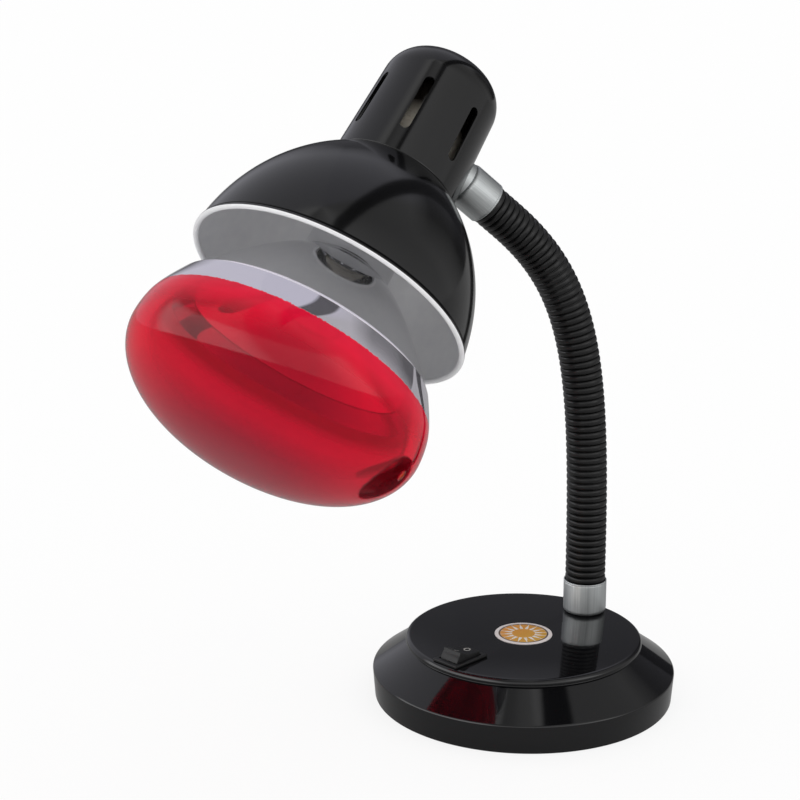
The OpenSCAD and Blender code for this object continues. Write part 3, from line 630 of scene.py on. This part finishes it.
# Each length runs from the middle of one link to the middle of the next. Rings of points stand
# square to the neck, 16 to a rib, and start from the upright plane that the neck curves in.
neck_side = Vector((0.8696, -0.4938, 0))
round_steps = 64
rings_per_rib = 16
joint_run = [run[i] for i in joint_at]
cuts = [0] + [(a + b) / 2 for a, b in zip(joint_run, joint_run[1:])] + [run[-1]]
for k in range(link_count + 1):
    mesh = bmesh.new()
    ring_total = round((cuts[k + 1] - cuts[k]) / rib * rings_per_rib)
    rows = []
    for n in range(ring_total + 1):
        length = cuts[k] + (cuts[k + 1] - cuts[k]) * n / ring_total
        middle, way = at_run(length)
        across = way.cross(neck_side).normalized()
        other = way.cross(across)
        r = rib_radius(length)
        rows.append([
            mesh.verts.new((middle + (across * math.cos(a) + other * math.sin(a)) * r) / 1000)
            for a in (2 * math.pi * m / round_steps for m in range(round_steps))
        ])
    for n in range(ring_total):
        for m in range(round_steps):
            face = mesh.faces.new((rows[n][m], rows[n][m - 1], rows[n + 1][m - 1], rows[n + 1][m]))
            face.smooth = True
    bmesh.ops.recalc_face_normals(mesh, faces=mesh.faces)
    length_of_sleeve = finish_piece("sleeve_length_%d" % (k + 1), mesh, [sleeve_pe], 80)
    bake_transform(length_of_sleeve)
    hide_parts("sleeve_%d" % (k + 1), *(["sleeve_12"] if k == link_count else []))


# ---------- socket cap ----------
# A drawn steel cup with five vent slots pierced round its front, sprayed and baked in black enamel.
# Its mouth sits over the shade's collar, and the arm's threaded tube clamps it to the strap.

# Stoving enamel: near-black, clear reflections over a slow orange peel about 4 mm wide.
black_enamel, tree, coords = start_material("black_stove_enamel")
peel = add(tree, "ShaderNodeTexNoise", {"Scale": 1000 / 4, "Detail": 1}, {"Vector": (coords, "Object")})
dust = add(tree, "ShaderNodeTexNoise", {"Scale": 1000 / 0.5, "Detail": 2}, {"Vector": (coords, "Object")})
ripple = add(tree, "ShaderNodeBump", {"Strength": 0.14, "Distance": 0.00006}, {"Height": (peel, "Fac")})
shine = add(tree, "ShaderNodeMapRange", {"To Min": 0.08, "To Max": 0.15}, {"Value": (dust, "Fac")})
enamel = add(tree, "ShaderNodeBsdfPrincipled", {"Base Color": linear("#0A0A0B"), "IOR": 1.52},
             {"Roughness": (shine, "Result"), "Normal": (ripple, "Normal")})
add(tree, "ShaderNodeOutputMaterial", {}, {"Surface": (enamel, "BSDF")})


cap_sheet = 1.2
cap_corner = 15
cap_top = 117.9
cap_mouth = 59.4


def cap_side(inset):
    """Half outline of the cap's round shoulder above its slow taper, inset into the sheet."""
    middle = Vector((10.178, cap_top - cap_corner))
    return [middle + (cap_corner - inset) * Vector((math.cos(a), math.sin(a)))
            for a in (math.radians(2.31 + 87.69 * k / 20) for k in range(21))]


mouth_edge = rounded([(10, 120), (26.935, cap_mouth, 0.45), (25.735, cap_mouth, 0.45), (10, 120)])
cap = lathe("socket_cap_drawn", [(black_enamel, [
    (0, cap_top), *reversed(cap_side(0)), *mouth_edge[1:-1], *cap_side(cap_sheet),
    (0, cap_top - cap_sheet),
])], head_place, steps=256)

# Slots 26.5 mm long with round ends, 52 degrees apart, and the hole for the arm's tube. Each cutter
# reaches from inside the cap's wall to well outside it.
slot_half = 2.1
slot_ends = (72.1, 94.4)
reach_in, reach_out = 13, 40
cutters = []
for k in range(-2, 3):
    turn = head_place @ Matrix.Rotation(math.radians(-90 + 52 * k), 4, "Z")
    cutters.append(block("slot", (reach_in, -slot_half, slot_ends[0]),
                         (reach_out, slot_half, slot_ends[1]), turn))
    for end in slot_ends:
        end_place = turn @ Matrix.Translation((0, 0, end / 1000)) @ Matrix.Rotation(math.pi / 2, 4, "Y")
        cutters.append(lathe("slot_end", [(None, [
            (0, reach_in), (slot_half, reach_in), (slot_half, reach_out), (0, reach_out),
        ])], end_place, steps=32))
cutters.append(lathe("arm_hole", [(None, [
    (0, reach_in), (neck_hole, reach_in), (neck_hole, reach_out), (0, reach_out),
])], arm_place, steps=32))
for cutter in cutters:
    cut(cap, [cutter])
belongs(cap, "head", "black_enamel", "socket_cap")


# ---------- shade ----------
# A dome spun from 1 mm steel, with its rim rolled outwards and a collar for the cap at its top. It
# is enamelled black outside, and white inside and over the rolled rim.

# White enamel, baked gloss: slightly cool, with a slow orange peel about 5 mm wide.
white_enamel, tree, coords = start_material("white_stove_enamel")
peel = add(tree, "ShaderNodeTexNoise", {"Scale": 1000 / 5, "Detail": 1}, {"Vector": (coords, "Object")})
ripple = add(tree, "ShaderNodeBump", {"Strength": 0.12, "Distance": 0.00006}, {"Height": (peel, "Fac")})
tone = add(tree, "ShaderNodeValToRGB",
           {"stops": [(0.3, linear("#EFEFF1")), (0.7, linear("#F4F4F5"))]}, {"Fac": (peel, "Fac")})
enamel = add(tree, "ShaderNodeBsdfPrincipled", {"Roughness": 0.3, "IOR": 1.52},
             {"Base Color": (tone, "Color"), "Normal": (ripple, "Normal")})
add(tree, "ShaderNodeOutputMaterial", {}, {"Surface": (enamel, "BSDF")})


dome_radius = 81.8
dome_middle = Vector((-22.4, -6))
shade_sheet = 1
bead_radius = 1.2
bead_middle = Vector((58.5, bead_radius))
collar_radius = 25.3
collar_top = 63.4


def dome(inset, low, high, steps=40):
    """Points of the dome's arc between two heights above the rim, inset into the sheet."""
    radius = dome_radius - inset
    a, b = (math.asin((s - dome_middle.y) / radius) for s in (low, high))
    return [dome_middle + radius * Vector((math.cos(turn), math.sin(turn)))
            for turn in (a + (b - a) * k / steps for k in range(steps + 1))]


def bead(start, end, steps):
    """Points round the rolled rim between two angles in degrees, 0 being outwards."""
    return [bead_middle + bead_radius * Vector((math.cos(a), math.sin(a)))
            for a in (math.radians(start + (end - start) * k / steps) for k in range(steps + 1))]


collar_inside = collar_radius - shade_sheet
shade = lathe("shade_spun", [
    (black_enamel, [
        (collar_inside, collar_top), (collar_radius, collar_top), (collar_radius, cap_mouth),
        *reversed(dome(0, 3, cap_mouth)), *bead(100, -6, 11),
    ]),
    (white_enamel, [
        *bead(-6, -180, 15), *dome(shade_sheet, 2.4, cap_mouth - shade_sheet),
        (collar_inside, cap_mouth - shade_sheet), (collar_inside, collar_top),
    ]),
], head_place, steps=256)
belongs(shade, "head", "black_enamel", "lamp_shade")


# ---------- lampholder ----------
# A glazed porcelain body with a brass screw shell and a sprung centre contact, held by two screws
# under a bent steel strap that the arm's nut clamps.

# The head's axis and the middle of its rim, from which height is counted in the next materials.
axis = (head_place.to_3x3() @ up).normalized()
rim = head_place.to_translation()

# Electrical porcelain: a creamy body under a clear glaze, with faint specks. Towards the strap it is
# painted near-black as painted shade, fully so from 89 mm above the rim.
porcelain, tree, coords = start_material("glazed_porcelain")
from_rim = add(tree, "ShaderNodeVectorMath", {"operation": "SUBTRACT", 1: rim}, {0: (coords, "Object")})
height = add(tree, "ShaderNodeVectorMath", {"operation": "DOT_PRODUCT", 1: axis},
             {0: (from_rim, "Vector")})
# Painted shade: the body goes near-black from 79 to 89 mm above the rim, towards the strap.
strap_shade = add(tree, "ShaderNodeMapRange", {"From Min": 0.079, "From Max": 0.089},
              {"Value": (height, "Value")})
speck = add(tree, "ShaderNodeTexNoise", {"Scale": 1000 / 1.2, "Detail": 4}, {"Vector": (coords, "Object")})
tone = add(tree, "ShaderNodeValToRGB",
           {"stops": [(0.25, linear("#A89F90")), (0.5, linear("#C4BDB0"))]}, {"Fac": (speck, "Fac")})
toned = add(tree, "ShaderNodeMix", {"data_type": "RGBA", 7: linear("#1C1815")},
            {0: (strap_shade, "Result"), 6: (tone, "Color")})
glaze = add(tree, "ShaderNodeBsdfPrincipled", {"Roughness": 0.16, "IOR": 1.5},
            {"Base Color": (toned, 2)})
add(tree, "ShaderNodeOutputMaterial", {}, {"Surface": (glaze, "BSDF")})
dress(["holder_body"], porcelain)
dress(["holder_shell", "holder_contact"], rolled_brass)
dress(["holder_bracket", "bracket_screws"], zinc_plate)


# ---------- bulb glass ----------
# A blown glass reflector in two pieces, fused at the ridge. The bowl is silvered inside to a little
# past the ridge, and the front is lacquered red. It screws into the holder by its base.

# All in mm: heights count from the shade's rim along the head's axis, and are negative in front.
silver_edge = -32.6
glass_wall = 1.2
bulb_radius = 62.5
widest = -44.4
front_depth = 32.3
ridge = (54.9, -21.5)

# Ruby lacquer, baked on clear glass: a clear crimson that shows the inside of the bulb, deeper over
# the front and milky near the silvering. The silvering ends in a slightly ragged line, with teeth
# about 1 mm wide.
ruby_lacquer, tree, coords = start_material("ruby_lacquer_on_glass")
from_rim = add(tree, "ShaderNodeVectorMath", {"operation": "SUBTRACT", 1: rim}, {0: (coords, "Object")})
height = add(tree, "ShaderNodeVectorMath", {"operation": "DOT_PRODUCT", 1: axis},
             {0: (from_rim, "Vector")})
teeth = add(tree, "ShaderNodeTexNoise", {"Scale": 1000 / 0.9, "Detail": 2}, {"Vector": (coords, "Object")})
ragged = add(tree, "ShaderNodeMath",
             {"operation": "MULTIPLY_ADD", 1: 0.0016, 2: -0.0008 - silver_edge / 1000},
             {0: (teeth, "Fac")})
past = add(tree, "ShaderNodeMath", {"operation": "ADD"}, {0: (height, "Value"), 1: (ragged, "Value")})
silvered = add(tree, "ShaderNodeMapRange", {"From Min": -0.00012, "From Max": 0.00012},
               {"Value": (past, "Value")})
from_front = add(tree, "ShaderNodeMapRange",
                 {"From Min": (widest - front_depth) / 1000, "From Max": silver_edge / 1000},
                 {"Value": (height, "Value")})
depth = add(tree, "ShaderNodeValToRGB", {"stops": [
    (0.0, linear("#A2082A")), (0.15, linear("#BC082A")), (0.4, linear("#DE0A2C")),
    (0.75, linear("#E60C30")), (1.0, linear("#EA1C3E")),
]}, {"Fac": (from_front, "Result")})
thin = add(tree, "ShaderNodeValToRGB",
           {"stops": [(0.0, 0.6), (0.15, 0.85), (0.5, 0.92), (0.7, 0.75), (0.88, 0.25)]},
           {"Fac": (from_front, "Result")})
clear = add(tree, "ShaderNodeMath", {"operation": "SUBTRACT", 0: 1.0}, {1: (silvered, "Result")})
see_in = add(tree, "ShaderNodeMath", {"operation": "MULTIPLY"}, {0: (clear, "Value"), 1: (thin, "Color")})
tint = add(tree, "ShaderNodeMix", {"data_type": "RGBA", 7: linear("#E8E4EE")},
           {0: (silvered, "Result"), 6: (depth, "Color")})
metal = add(tree, "ShaderNodeMath", {"operation": "MULTIPLY", 1: 0.9}, {0: (silvered, "Result")})
gloss = add(tree, "ShaderNodeMapRange", {"To Min": 0.07, "To Max": 0.02}, {"Value": (silvered, "Result")})
glass = add(tree, "ShaderNodeBsdfPrincipled", {"IOR": 1.34, "Specular IOR Level": 0.4}, {
    "Base Color": (tint, 2), "Metallic": (metal, "Value"), "Transmission Weight": (see_in, "Value"),
    "Roughness": (gloss, "Result"),
})
add(tree, "ShaderNodeOutputMaterial", {}, {"Surface": (glass, "BSDF")})

# The bare inside of the glass: clear and colourless, with waves about 8 mm long from the blowing.
clear_glass, tree, coords = start_material("clear_glass")
wave = add(tree, "ShaderNodeTexNoise", {"Scale": 1000 / 8, "Detail": 1}, {"Vector": (coords, "Object")})
ripple = add(tree, "ShaderNodeBump", {"Strength": 0.2, "Distance": 0.0001}, {"Height": (wave, "Fac")})
glass = add(tree, "ShaderNodeBsdfPrincipled",
            {"Base Color": linear("#F2F6F5"), "Roughness": 0.02, "IOR": 1.5, "Transmission Weight": 1},
            {"Normal": (ripple, "Normal")})
add(tree, "ShaderNodeOutputMaterial", {}, {"Surface": (glass, "BSDF")})

# Aluminium vapour on the inside of the glass: a slightly soft, slightly cool mirror.
silvering, tree, coords = start_material("vapour_silvered_glass")
wave = add(tree, "ShaderNodeTexNoise", {"Scale": 1000 / 12, "Detail": 1}, {"Vector": (coords, "Object")})
ripple = add(tree, "ShaderNodeBump", {"Strength": 0.1, "Distance": 0.0001}, {"Height": (wave, "Fac")})
mirror = add(tree, "ShaderNodeBsdfPrincipled",
             {"Base Color": linear("#DEDEE0"), "Metallic": 0.88, "Roughness": 0.06},
             {"Normal": (ripple, "Normal")})
add(tree, "ShaderNodeOutputMaterial", {}, {"Surface": (mirror, "BSDF")})

# The same coat seen from inside the bulb: the bare metal, a clean bright mirror.
bare_silvering, tree, coords = start_material("bare_silvering")
wave = add(tree, "ShaderNodeTexNoise", {"Scale": 1000 / 10, "Detail": 1}, {"Vector": (coords, "Object")})
ripple = add(tree, "ShaderNodeBump", {"Strength": 0.2, "Distance": 0.0001}, {"Height": (wave, "Fac")})
mirror = add(tree, "ShaderNodeBsdfPrincipled",
             {"Base Color": linear("#FAFAFA"), "Metallic": 1, "Roughness": 0.03},
             {"Normal": (ripple, "Normal")})
add(tree, "ShaderNodeOutputMaterial", {}, {"Surface": (mirror, "BSDF")})


def bend(out, inset, *more, steps):
    """Adds a smooth curve to an outline, from its last point through two pulls to a new end."""
    ends = [out[-1]] + [Vector((r - inset, z)) for r, z in more]
    out += [on_curve((k + 1) / steps, *ends) for k in range(steps)]


def face_side(inset):
    """Half outline of the face: a squarish ellipse from the axis, a round belly, then the ridge."""
    out = [
        Vector(((bulb_radius - inset) * math.cos(a) ** 0.854,
                widest - (front_depth - inset) * math.sin(a)))
        for a in (math.radians(90 - 90 * k / 48) for k in range(49))
    ]
    out += [Vector((24.2 - inset + math.sqrt(38.3 ** 2 - u * u), widest + u)) for u in range(1, 10)]
    bend(out, inset, (60.2, -31.2), (58.3, -27.7), ridge, steps=16)
    return out


def bowl_side(inset):
    """Half outline of the silvered bowl, from the ridge back to the end of its neck."""
    out = [Vector((ridge[0] - inset, ridge[1]))]
    bend(out, inset, (46.2, -11), (32, 6.8), (22.5, 12), steps=30)
    bend(out, inset, (19.4, 13.7), (18.6, 16), (18.6, 20), steps=8)
    return out + [Vector((r - inset, z)) for r, z in ((18.4, 36), (17, 60), (12.6, 69), (12.6, 82))]


face = lathe("bulb_face_blown", [
    (ruby_lacquer, face_side(0)),
    (clear_glass, [face_side(0)[-1], *reversed(face_side(glass_wall))]),
], head_place, steps=256)
belongs(face, "bulb", "ruby_glass", "bulb_face")
bowl = lathe("bulb_bowl_blown", [
    (silvering, bowl_side(0)),
    (bare_silvering, [bowl_side(0)[-1], *reversed(bowl_side(glass_wall)), bowl_side(0)[0]]),
], head_place, steps=256)
belongs(bowl, "bulb", "mirrored_glass", "bulb_reflector")


# ---------- bulb stem, filament and screw base ----------
# A pressed glass stem carries a ring of coiled tungsten on molybdenum wires. The 27 mm screw base
# is rolled aluminium, cemented to the neck, with a black glass insulator round its contact.
dress(["bulb_stem"], clear_glass)

# Tungsten and molybdenum wire: a dark blued grey.
tungsten, tree, coords = start_material("tungsten_wire")
cloud = add(tree, "ShaderNodeTexNoise", {"Scale": 1000 / 0.4, "Detail": 2}, {"Vector": (coords, "Object")})
tone = add(tree, "ShaderNodeValToRGB",
           {"stops": [(0.3, linear("#55555C")), (0.7, linear("#7C7C84"))]}, {"Fac": (cloud, "Fac")})
wire = add(tree, "ShaderNodeBsdfPrincipled", {"Metallic": 1, "Roughness": 0.35},
           {"Base Color": (tone, "Color")})
add(tree, "ShaderNodeOutputMaterial", {}, {"Surface": (wire, "BSDF")})
dress(["bulb_filament", "bulb_supports"], tungsten)

# Aluminium with a rolled thread: a soft pale grey with faint clouds.
rolled_aluminium, tree, coords = start_material("rolled_aluminium")
cloud = add(tree, "ShaderNodeTexNoise", {"Scale": 1000 / 2, "Detail": 3}, {"Vector": (coords, "Object")})
tone = add(tree, "ShaderNodeValToRGB",
           {"stops": [(0.3, linear("#BDBDB8")), (0.7, linear("#D6D5CF"))]}, {"Fac": (cloud, "Fac")})
skin = add(tree, "ShaderNodeBsdfPrincipled", {"Metallic": 1, "Roughness": 0.3},
           {"Base Color": (tone, "Color")})
add(tree, "ShaderNodeOutputMaterial", {}, {"Surface": (skin, "BSDF")})
dress(["bulb_base_shell"], rolled_aluminium)

# Black vitreous insulator: glassy, near-black with a blue cast.
black_vitrite, tree, coords = start_material("black_vitrite")
cloud = add(tree, "ShaderNodeTexNoise", {"Scale": 1000 / 1, "Detail": 3}, {"Vector": (coords, "Object")})
tone = add(tree, "ShaderNodeValToRGB",
           {"stops": [(0.3, linear("#0B0B10")), (0.7, linear("#20202A"))]}, {"Fac": (cloud, "Fac")})
glass = add(tree, "ShaderNodeBsdfPrincipled", {"Roughness": 0.12, "IOR": 1.55},
            {"Base Color": (tone, "Color")})
add(tree, "ShaderNodeOutputMaterial", {}, {"Surface": (glass, "BSDF")})
dress(["bulb_base_contact"], black_vitrite)


# ---------- floor, backdrop and light ----------
# A seamless sweep of white paper, lit evenly. Gloss pieces show a pale room: soft screens all round,
# a bright softbox front left and a smaller one front right, a dim strip at the back, and a dark gap
# that slants from overhead down to the back on the right.

# Matt white paper: an even white ground that keeps the lamp's soft shadow. It looks darker to
# gloss, so that the undersides of black pieces stay black.
white_paper, tree, _ = start_material("white_paper")
path = add(tree, "ShaderNodeLightPath", {})
mirrored = add(tree, "ShaderNodeMath", {"operation": "MAXIMUM"},
               {0: (path, "Is Glossy Ray"), 1: (path, "Is Transmission Ray")})
looked_at = add(tree, "ShaderNodeMath", {"operation": "MAXIMUM"},
                {0: (path, "Is Camera Ray"), 1: (mirrored, "Value")})
share = add(tree, "ShaderNodeMath", {"operation": "MULTIPLY", 1: 0.84}, {0: (looked_at, "Value")})
# A ray through slightly rough glass counts as glossy too, so it is taken off here.
bounced = add(tree, "ShaderNodeMath", {"operation": "SUBTRACT", "use_clamp": True},
              {0: (path, "Is Glossy Ray"), 1: (path, "Is Transmission Ray")})
glow = add(tree, "ShaderNodeMath", {"operation": "MULTIPLY_ADD", 1: -0.75, 2: 1.0}, {0: (bounced, "Value")})
lit = add(tree, "ShaderNodeBsdfDiffuse", {"Color": linear("#FFFFFF")})
plain = add(tree, "ShaderNodeEmission", {"Color": linear("#FFFFFF")}, {"Strength": (glow, "Value")})
paper = add(tree, "ShaderNodeMixShader", {},
            {"Fac": (share, "Value"), 1: (lit, "BSDF"), 2: (plain, "Emission")})
add(tree, "ShaderNodeOutputMaterial", {}, {"Surface": (paper, "Shader")})
mesh = bmesh.new()
bmesh.ops.create_grid(mesh, x_segments=1, y_segments=1, size=6)
floor = finish_piece("paper_sweep", mesh, [white_paper])

scene = bpy.context.scene
scene.world = bpy.data.worlds.new("studio")
scene.world.use_nodes = True
tree = scene.world.node_tree
tree.nodes.clear()
coords = add(tree, "ShaderNodeTexCoord", {})

# Bearings are counted from the camera's side of the room, to the right positive, in turns.
facing = add(tree, "ShaderNodeMapping", {"vector_type": "VECTOR", "Rotation": (0, 0, math.radians(45))},
             {"Vector": (coords, "Generated")})
way = add(tree, "ShaderNodeSeparateXYZ", {}, {"Vector": (facing, "Vector")})
bearing = add(tree, "ShaderNodeMath", {"operation": "ARCTAN2"}, {0: (way, "Y"), 1: (way, "X")})
rise = add(tree, "ShaderNodeMath", {"operation": "ARCSINE"}, {0: (way, "Z")})
lean = add(tree, "ShaderNodeMath", {"operation": "MULTIPLY_ADD", 1: 0.42},
           {0: (rise, "Value"), 2: (bearing, "Value")})
round_room = add(tree, "ShaderNodeMapRange", {"From Min": -math.pi, "From Max": math.pi},
                 {"Value": (lean, "Value")})
up_room = add(tree, "ShaderNodeMapRange", {"From Min": -math.pi / 2, "From Max": math.pi / 2},
              {"Value": (rise, "Value")})


def light(level, cool=0.0):
    """A light level, linear, with its share of blue."""
    return [level * (1 - cool), level * (1 - cool), level * (1 + cool), 1]


# Screens all round the room.
screens = add(tree, "ShaderNodeValToRGB", {"stops": [
    (0.00, light(0.58, 0.05)), (0.30, light(0.6, 0.03)), (0.38, light(1.0)), (0.45, light(0.8)),
    (0.47, light(0.35)), (0.52, light(0.4)), (0.56, light(0.5)), (0.64, light(0.6)),
    (0.68, light(0.85)), (0.72, light(0.7)), (0.80, light(0.45)), (0.88, light(0.42)),
    (0.915, light(0.56, 0.05)),
]}, {"Fac": (round_room, "Result")})

# The dim strip behind, and how far up it goes.
behind = add(tree, "ShaderNodeValToRGB", {"stops": [
    (0.0, 1.0), (0.03, 1.0), (0.07, 0.0), (0.82, 0.0), (0.88, 1.0), (1.0, 1.0),
]}, {"Fac": (round_room, "Result")})
low = add(tree, "ShaderNodeValToRGB", {"stops": [
    (0.42, 0.7), (0.46, 0.9), (0.53, 0.9), (0.56, 0.8), (0.65, 0.75), (0.72, 0.0),
]}, {"Fac": (up_room, "Result")})
dim = add(tree, "ShaderNodeMath", {"operation": "MULTIPLY"}, {0: (behind, "Color"), 1: (low, "Color")})

# The dark gap runs from overhead down to the back, on the right side only. The vector is square to
# its slanted plane.
off_gap = add(tree, "ShaderNodeVectorMath", {"operation": "DOT_PRODUCT", 1: (-0.472, -0.810, 0.348)},
              {0: (facing, "Vector")})
beside = add(tree, "ShaderNodeMapRange", {"From Min": -0.5, "From Max": 0.5},
             {"Value": (off_gap, "Value")})
gap = add(tree, "ShaderNodeValToRGB", {"stops": [(0.475, 0.0), (0.495, 0.93), (0.63, 0.93), (0.66, 0.0)]},
          {"Fac": (beside, "Result")})
right_side = add(tree, "ShaderNodeMapRange", {"From Min": 0.08, "From Max": 0.16}, {"Value": (way, "Y")})
dark_gap = add(tree, "ShaderNodeMath", {"operation": "MULTIPLY"},
               {0: (gap, "Color"), 1: (right_side, "Result")})
darkest = add(tree, "ShaderNodeMath", {"operation": "MAXIMUM"},
              {0: (dim, "Value"), 1: (dark_gap, "Value")})
keep = add(tree, "ShaderNodeMath", {"operation": "SUBTRACT", 0: 1.0}, {1: (darkest, "Value")})
shaded = add(tree, "ShaderNodeVectorMath", {"operation": "SCALE"},
             {0: (screens, "Color"), "Scale": (keep, "Value")})

# Two softboxes, added over the screens: their width round the room and their height.
wide = add(tree, "ShaderNodeValToRGB", {"stops": [
    (0.20, 0.0), (0.23, 1.5), (0.42, 1.5), (0.46, 0.6), (0.61, 0.5), (0.64, 0.9), (0.70, 0.9), (0.73, 0.0),
]}, {"Fac": (round_room, "Result")})
tall = add(tree, "ShaderNodeValToRGB", {"stops": [(0.46, 0.0), (0.48, 1.0), (0.67, 1.0), (0.70, 0.0)]},
           {"Fac": (up_room, "Result")})
softbox = add(tree, "ShaderNodeMath", {"operation": "MULTIPLY"}, {0: (wide, "Color"), 1: (tall, "Color")})
seen = add(tree, "ShaderNodeVectorMath", {"operation": "ADD"}, {0: (shaded, "Vector"), 1: (softbox, "Value")})

# Gloss sees the room, matt surfaces a plain level of white, and the camera a white backdrop.
path = add(tree, "ShaderNodeLightPath", {})
flat_light = add(tree, "ShaderNodeBackground", {"Color": (1, 1, 1, 1), "Strength": 0.95})
room = add(tree, "ShaderNodeBackground", {"Strength": 1.0}, {"Color": (seen, "Vector")})
backdrop = add(tree, "ShaderNodeBackground", {"Color": (1, 1, 1, 1), "Strength": 1.0})
gloss_or_not = add(tree, "ShaderNodeMixShader", {},
                   {"Fac": (path, "Is Glossy Ray"), 1: (flat_light, 0), 2: (room, 0)})
through = add(tree, "ShaderNodeMath", {"operation": "MAXIMUM"},
              {0: (path, "Is Camera Ray"), 1: (path, "Is Transmission Ray")})
studio = add(tree, "ShaderNodeMixShader", {},
             {"Fac": (through, "Value"), 1: (gloss_or_not, 0), 2: (backdrop, 0)})
add(tree, "ShaderNodeOutputWorld", {}, {"Surface": (studio, 0)})
scene.view_settings.view_transform = "Standard"
